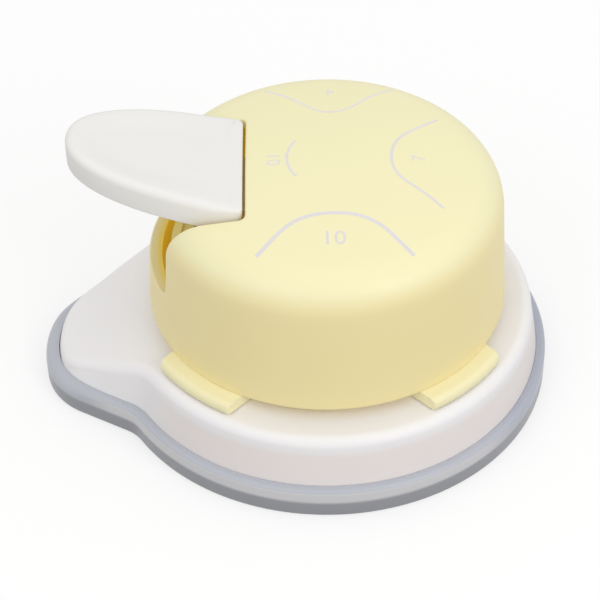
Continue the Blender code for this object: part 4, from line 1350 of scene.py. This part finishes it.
def smooth_line(points):
    """A smooth line through points."""
    points = [Vector(p) for p in points]
    padded = [2 * points[0] - points[1]] + points + [2 * points[-1] - points[-2]]
    line = []
    for a, b, c, d in zip(padded, padded[1:], padded[2:], padded[3:]):
        for i in range(8):
            t = i / 8
            line.append(0.5 * (2 * b + (c - a) * t + (2 * a - 5 * b + 4 * c - d) * t ** 2
                               + (3 * b - a - 3 * c + d) * t ** 3))
    return line + [points[-1]]


def ribbon(name, points, width):
    """A thin ribbon of foil on the cap along a line in plan."""
    line = smooth_line(in_mm(points))
    body = bmesh.new()
    rows = []
    for i, point in enumerate(line):
        ahead = (line[min(i + 1, len(line) - 1)] - line[max(i - 1, 0)]).normalized()
        side = Vector((-ahead.y, ahead.x)) * width / 2
        places = [point + side * share for share in (1, 0.33, -0.33, -1)]
        top = [body.verts.new(on_cap(*place)) for place in places]
        under = [body.verts.new(on_cap(*place, -foil_depth)) for place in (places[3], places[0])]
        rows.append(top + under)
    for a, b in zip(rows, rows[1:]):
        for i in range(6):
            body.faces.new((a[i - 1], a[i], b[i], b[i - 1]))
    body.faces.new(rows[0])
    body.faces.new(rows[-1])
    return from_bmesh(name, body)


def number(text, x, y, height, turn):
    """A printed number, its middle at a place on the cap's top."""
    words = bpy.data.curves.new("number", "FONT")
    words.body = text
    words.size = height * mm / digit_share
    words.align_x = "CENTER"
    words.align_y = "CENTER"
    words.extrude = 0.02 * mm
    mark = baked(new_object("number", words))
    mark.data.transform(Matrix.Translation((x * mm, y * mm, 0)) @ about_axis(turn))
    for vertex in mark.data.vertices:
        vertex.co = on_cap(vertex.co.x, vertex.co.y, foil_rise if vertex.co.z > 0 else -foil_depth)
    return mark


back_mark = [(-12.7, 27.4), (-10.5, 26.0), (-7.4, 23.5), (-4.7, 20.7), (-2.2, 18.15), (-1.0, 17.4),
             (0.2, 17.0), (1.5, 16.9), (3.3, 17.3), (5.5, 18.6), (8.1, 21.4), (10.3, 23.8),
             (12.3, 25.4), (15.2, 27.2)]
right_mark = [(23.8, 15.4), (21.9, 13.95), (19.0, 11.35), (16.1, 8.6), (14.55, 6.1), (13.7, 3.5), (13.4, 1.0),
              (13.6, -1.8), (14.5, -4.4), (16.1, -6.5), (17.6, -7.9), (19.5, -9.75), (21.4, -11.75),
              (23.05, -13.8)]
front_mark = [(-14.2, -26.5), (-11.9, -23.6), (-9.3, -20.4), (-6.7, -18.15), (-4.05, -16.9), (-1.15, -16.25),
              (1.75, -16.1), (4.6, -16.4), (7.5, -17.35), (10.0, -19.0), (12.2, -21.3), (14.4, -24.15),
              (16.5, -26.7)]
left_mark = arc((1.85, 0.75), 9.8, radians(143.6), radians(216.4), 12)
foil = joined("silver_marks", [
    ribbon("back", back_mark, 0.5 * mm), ribbon("right", right_mark, 0.6 * mm),
    ribbon("front", front_mark, 0.85 * mm), ribbon("left", left_mark, 0.55 * mm),
    number("4", 1.4, 25.5, 2.9, pi), number("7", 19.1, 0.9, 2.9, pi / 2),
    number("10", -10.85, 0.7, 2.9, -pi / 2), number("10", 1.0, -22.9, 3.5, 0),
])
piece(foil, foil_finish, "tool", "cap_cover")

# %% [markdown]
# ## The pieces that keep their solid shape
# The die plate, the punches, the carrier and the small turned parts are already right as solids.
# They only need their finishes: ground, stamped or turned metal, and black glass-filled plastic.

# %% Dress the kept solids
kept = {
    "die_plate": die_finish, "guide_housing": housing_painted_shade_and_glow, "punch_carrier": carrier_finish,
    "clamp_plate": clamp_finish, "guide_post_1": turned_finish, "guide_post_2": turned_finish,
    "lever_pin": pin_finish, "pin_clip": clip_finish, "punch_r4": punch_finish,
    "punch_r7": punch_finish, "punch_r10": punch_finish, "punch_scallop": punch_finish,
}
for name, finish in kept.items():
    solid = frame["nodes"][name]
    solid.data.materials.clear()
    solid.data.materials.append(finish)
print(len(kept), "solids dressed")

# %% [markdown]
# ## Floor, lamps and background
# The photograph has a clean white ground. A pale floor that is partly its own light for the camera
# stays white and still shows the soft shadow, and the world is white for the camera and for
# reflections. Large lamps above and in front give the long soft highlights of a light tent.

# %% Set the stage
pure_white = shade_of((1, 1, 1))


def see_rays(tree):
    """One for rays from the camera, a mirror or glass, else nothing."""
    kinds = tree.node("ShaderNodeLightPath").socket.node.outputs
    camera, mirror, glass = [
        Wire(tree, kinds[kind]) for kind in ("Is Camera Ray", "Is Glossy Ray", "Is Transmission Ray")
    ]
    return camera.at_least(mirror).at_least(glass)


def floor():
    """A wide pale floor, darker to the light that the object gets back from it."""
    finish = bpy.data.materials.new("pale_floor")
    finish.use_nodes = True
    finish.node_tree.nodes.clear()
    tree = Tree(finish.node_tree)
    matt = tree.node("ShaderNodeBsdfDiffuse", None, {"Color": shade_of((0.9, 0.9, 0.9))})
    glow = tree.node("ShaderNodeEmission", None, {"Color": pure_white, "Strength": 1.07})
    seen = tree.node("ShaderNodeMixShader", None, {0: 0.6, 1: matt, 2: glow})
    unseen = tree.node("ShaderNodeBsdfDiffuse", None, {"Color": shade_of((0.4, 0.4, 0.4))})
    both = tree.node("ShaderNodeMixShader", None, {0: see_rays(tree), 1: unseen, 2: seen})
    tree.node("ShaderNodeOutputMaterial", None, {"Surface": both})
    plane = slab("floor", [(-3, -3), (3, -3), (3, 3), (-3, 3)], -0.01, -0.00005)
    plane.data.materials.append(finish)


def world(level_of_light):
    """A white surround for the camera and a plain level of light for the object."""
    surround = bpy.data.worlds.new("surround")
    bpy.context.scene.world = surround
    surround.use_nodes = True
    surround.node_tree.nodes.clear()
    tree = Tree(surround.node_tree)
    strength = see_rays(tree) * (1 - level_of_light) + level_of_light
    light = tree.node("ShaderNodeBackground", None, {"Color": pure_white, "Strength": strength})
    tree.node("ShaderNodeOutputWorld", None, {"Surface": light})


def lamp(name, place, size, power):
    """A square lamp that faces the punch."""
    light = bpy.data.lights.new(name, "AREA")
    light.size = size
    light.energy = power
    made = new_object(name, light)
    made.location = place
    aim = Vector((0, 0, 0.03)) - made.location
    made.rotation_euler = aim.to_track_quat("-Z", "Y").to_euler()


floor()
world(0.82)
lamp("left", (-0.45, -0.55, 0.65), 0.5, 1.0)
lamp("right", (0.55, -0.60, 0.55), 0.5, 2.1)
bpy.context.scene.view_settings.view_transform = "Standard"
print(len(bpy.data.lights), "lamps")
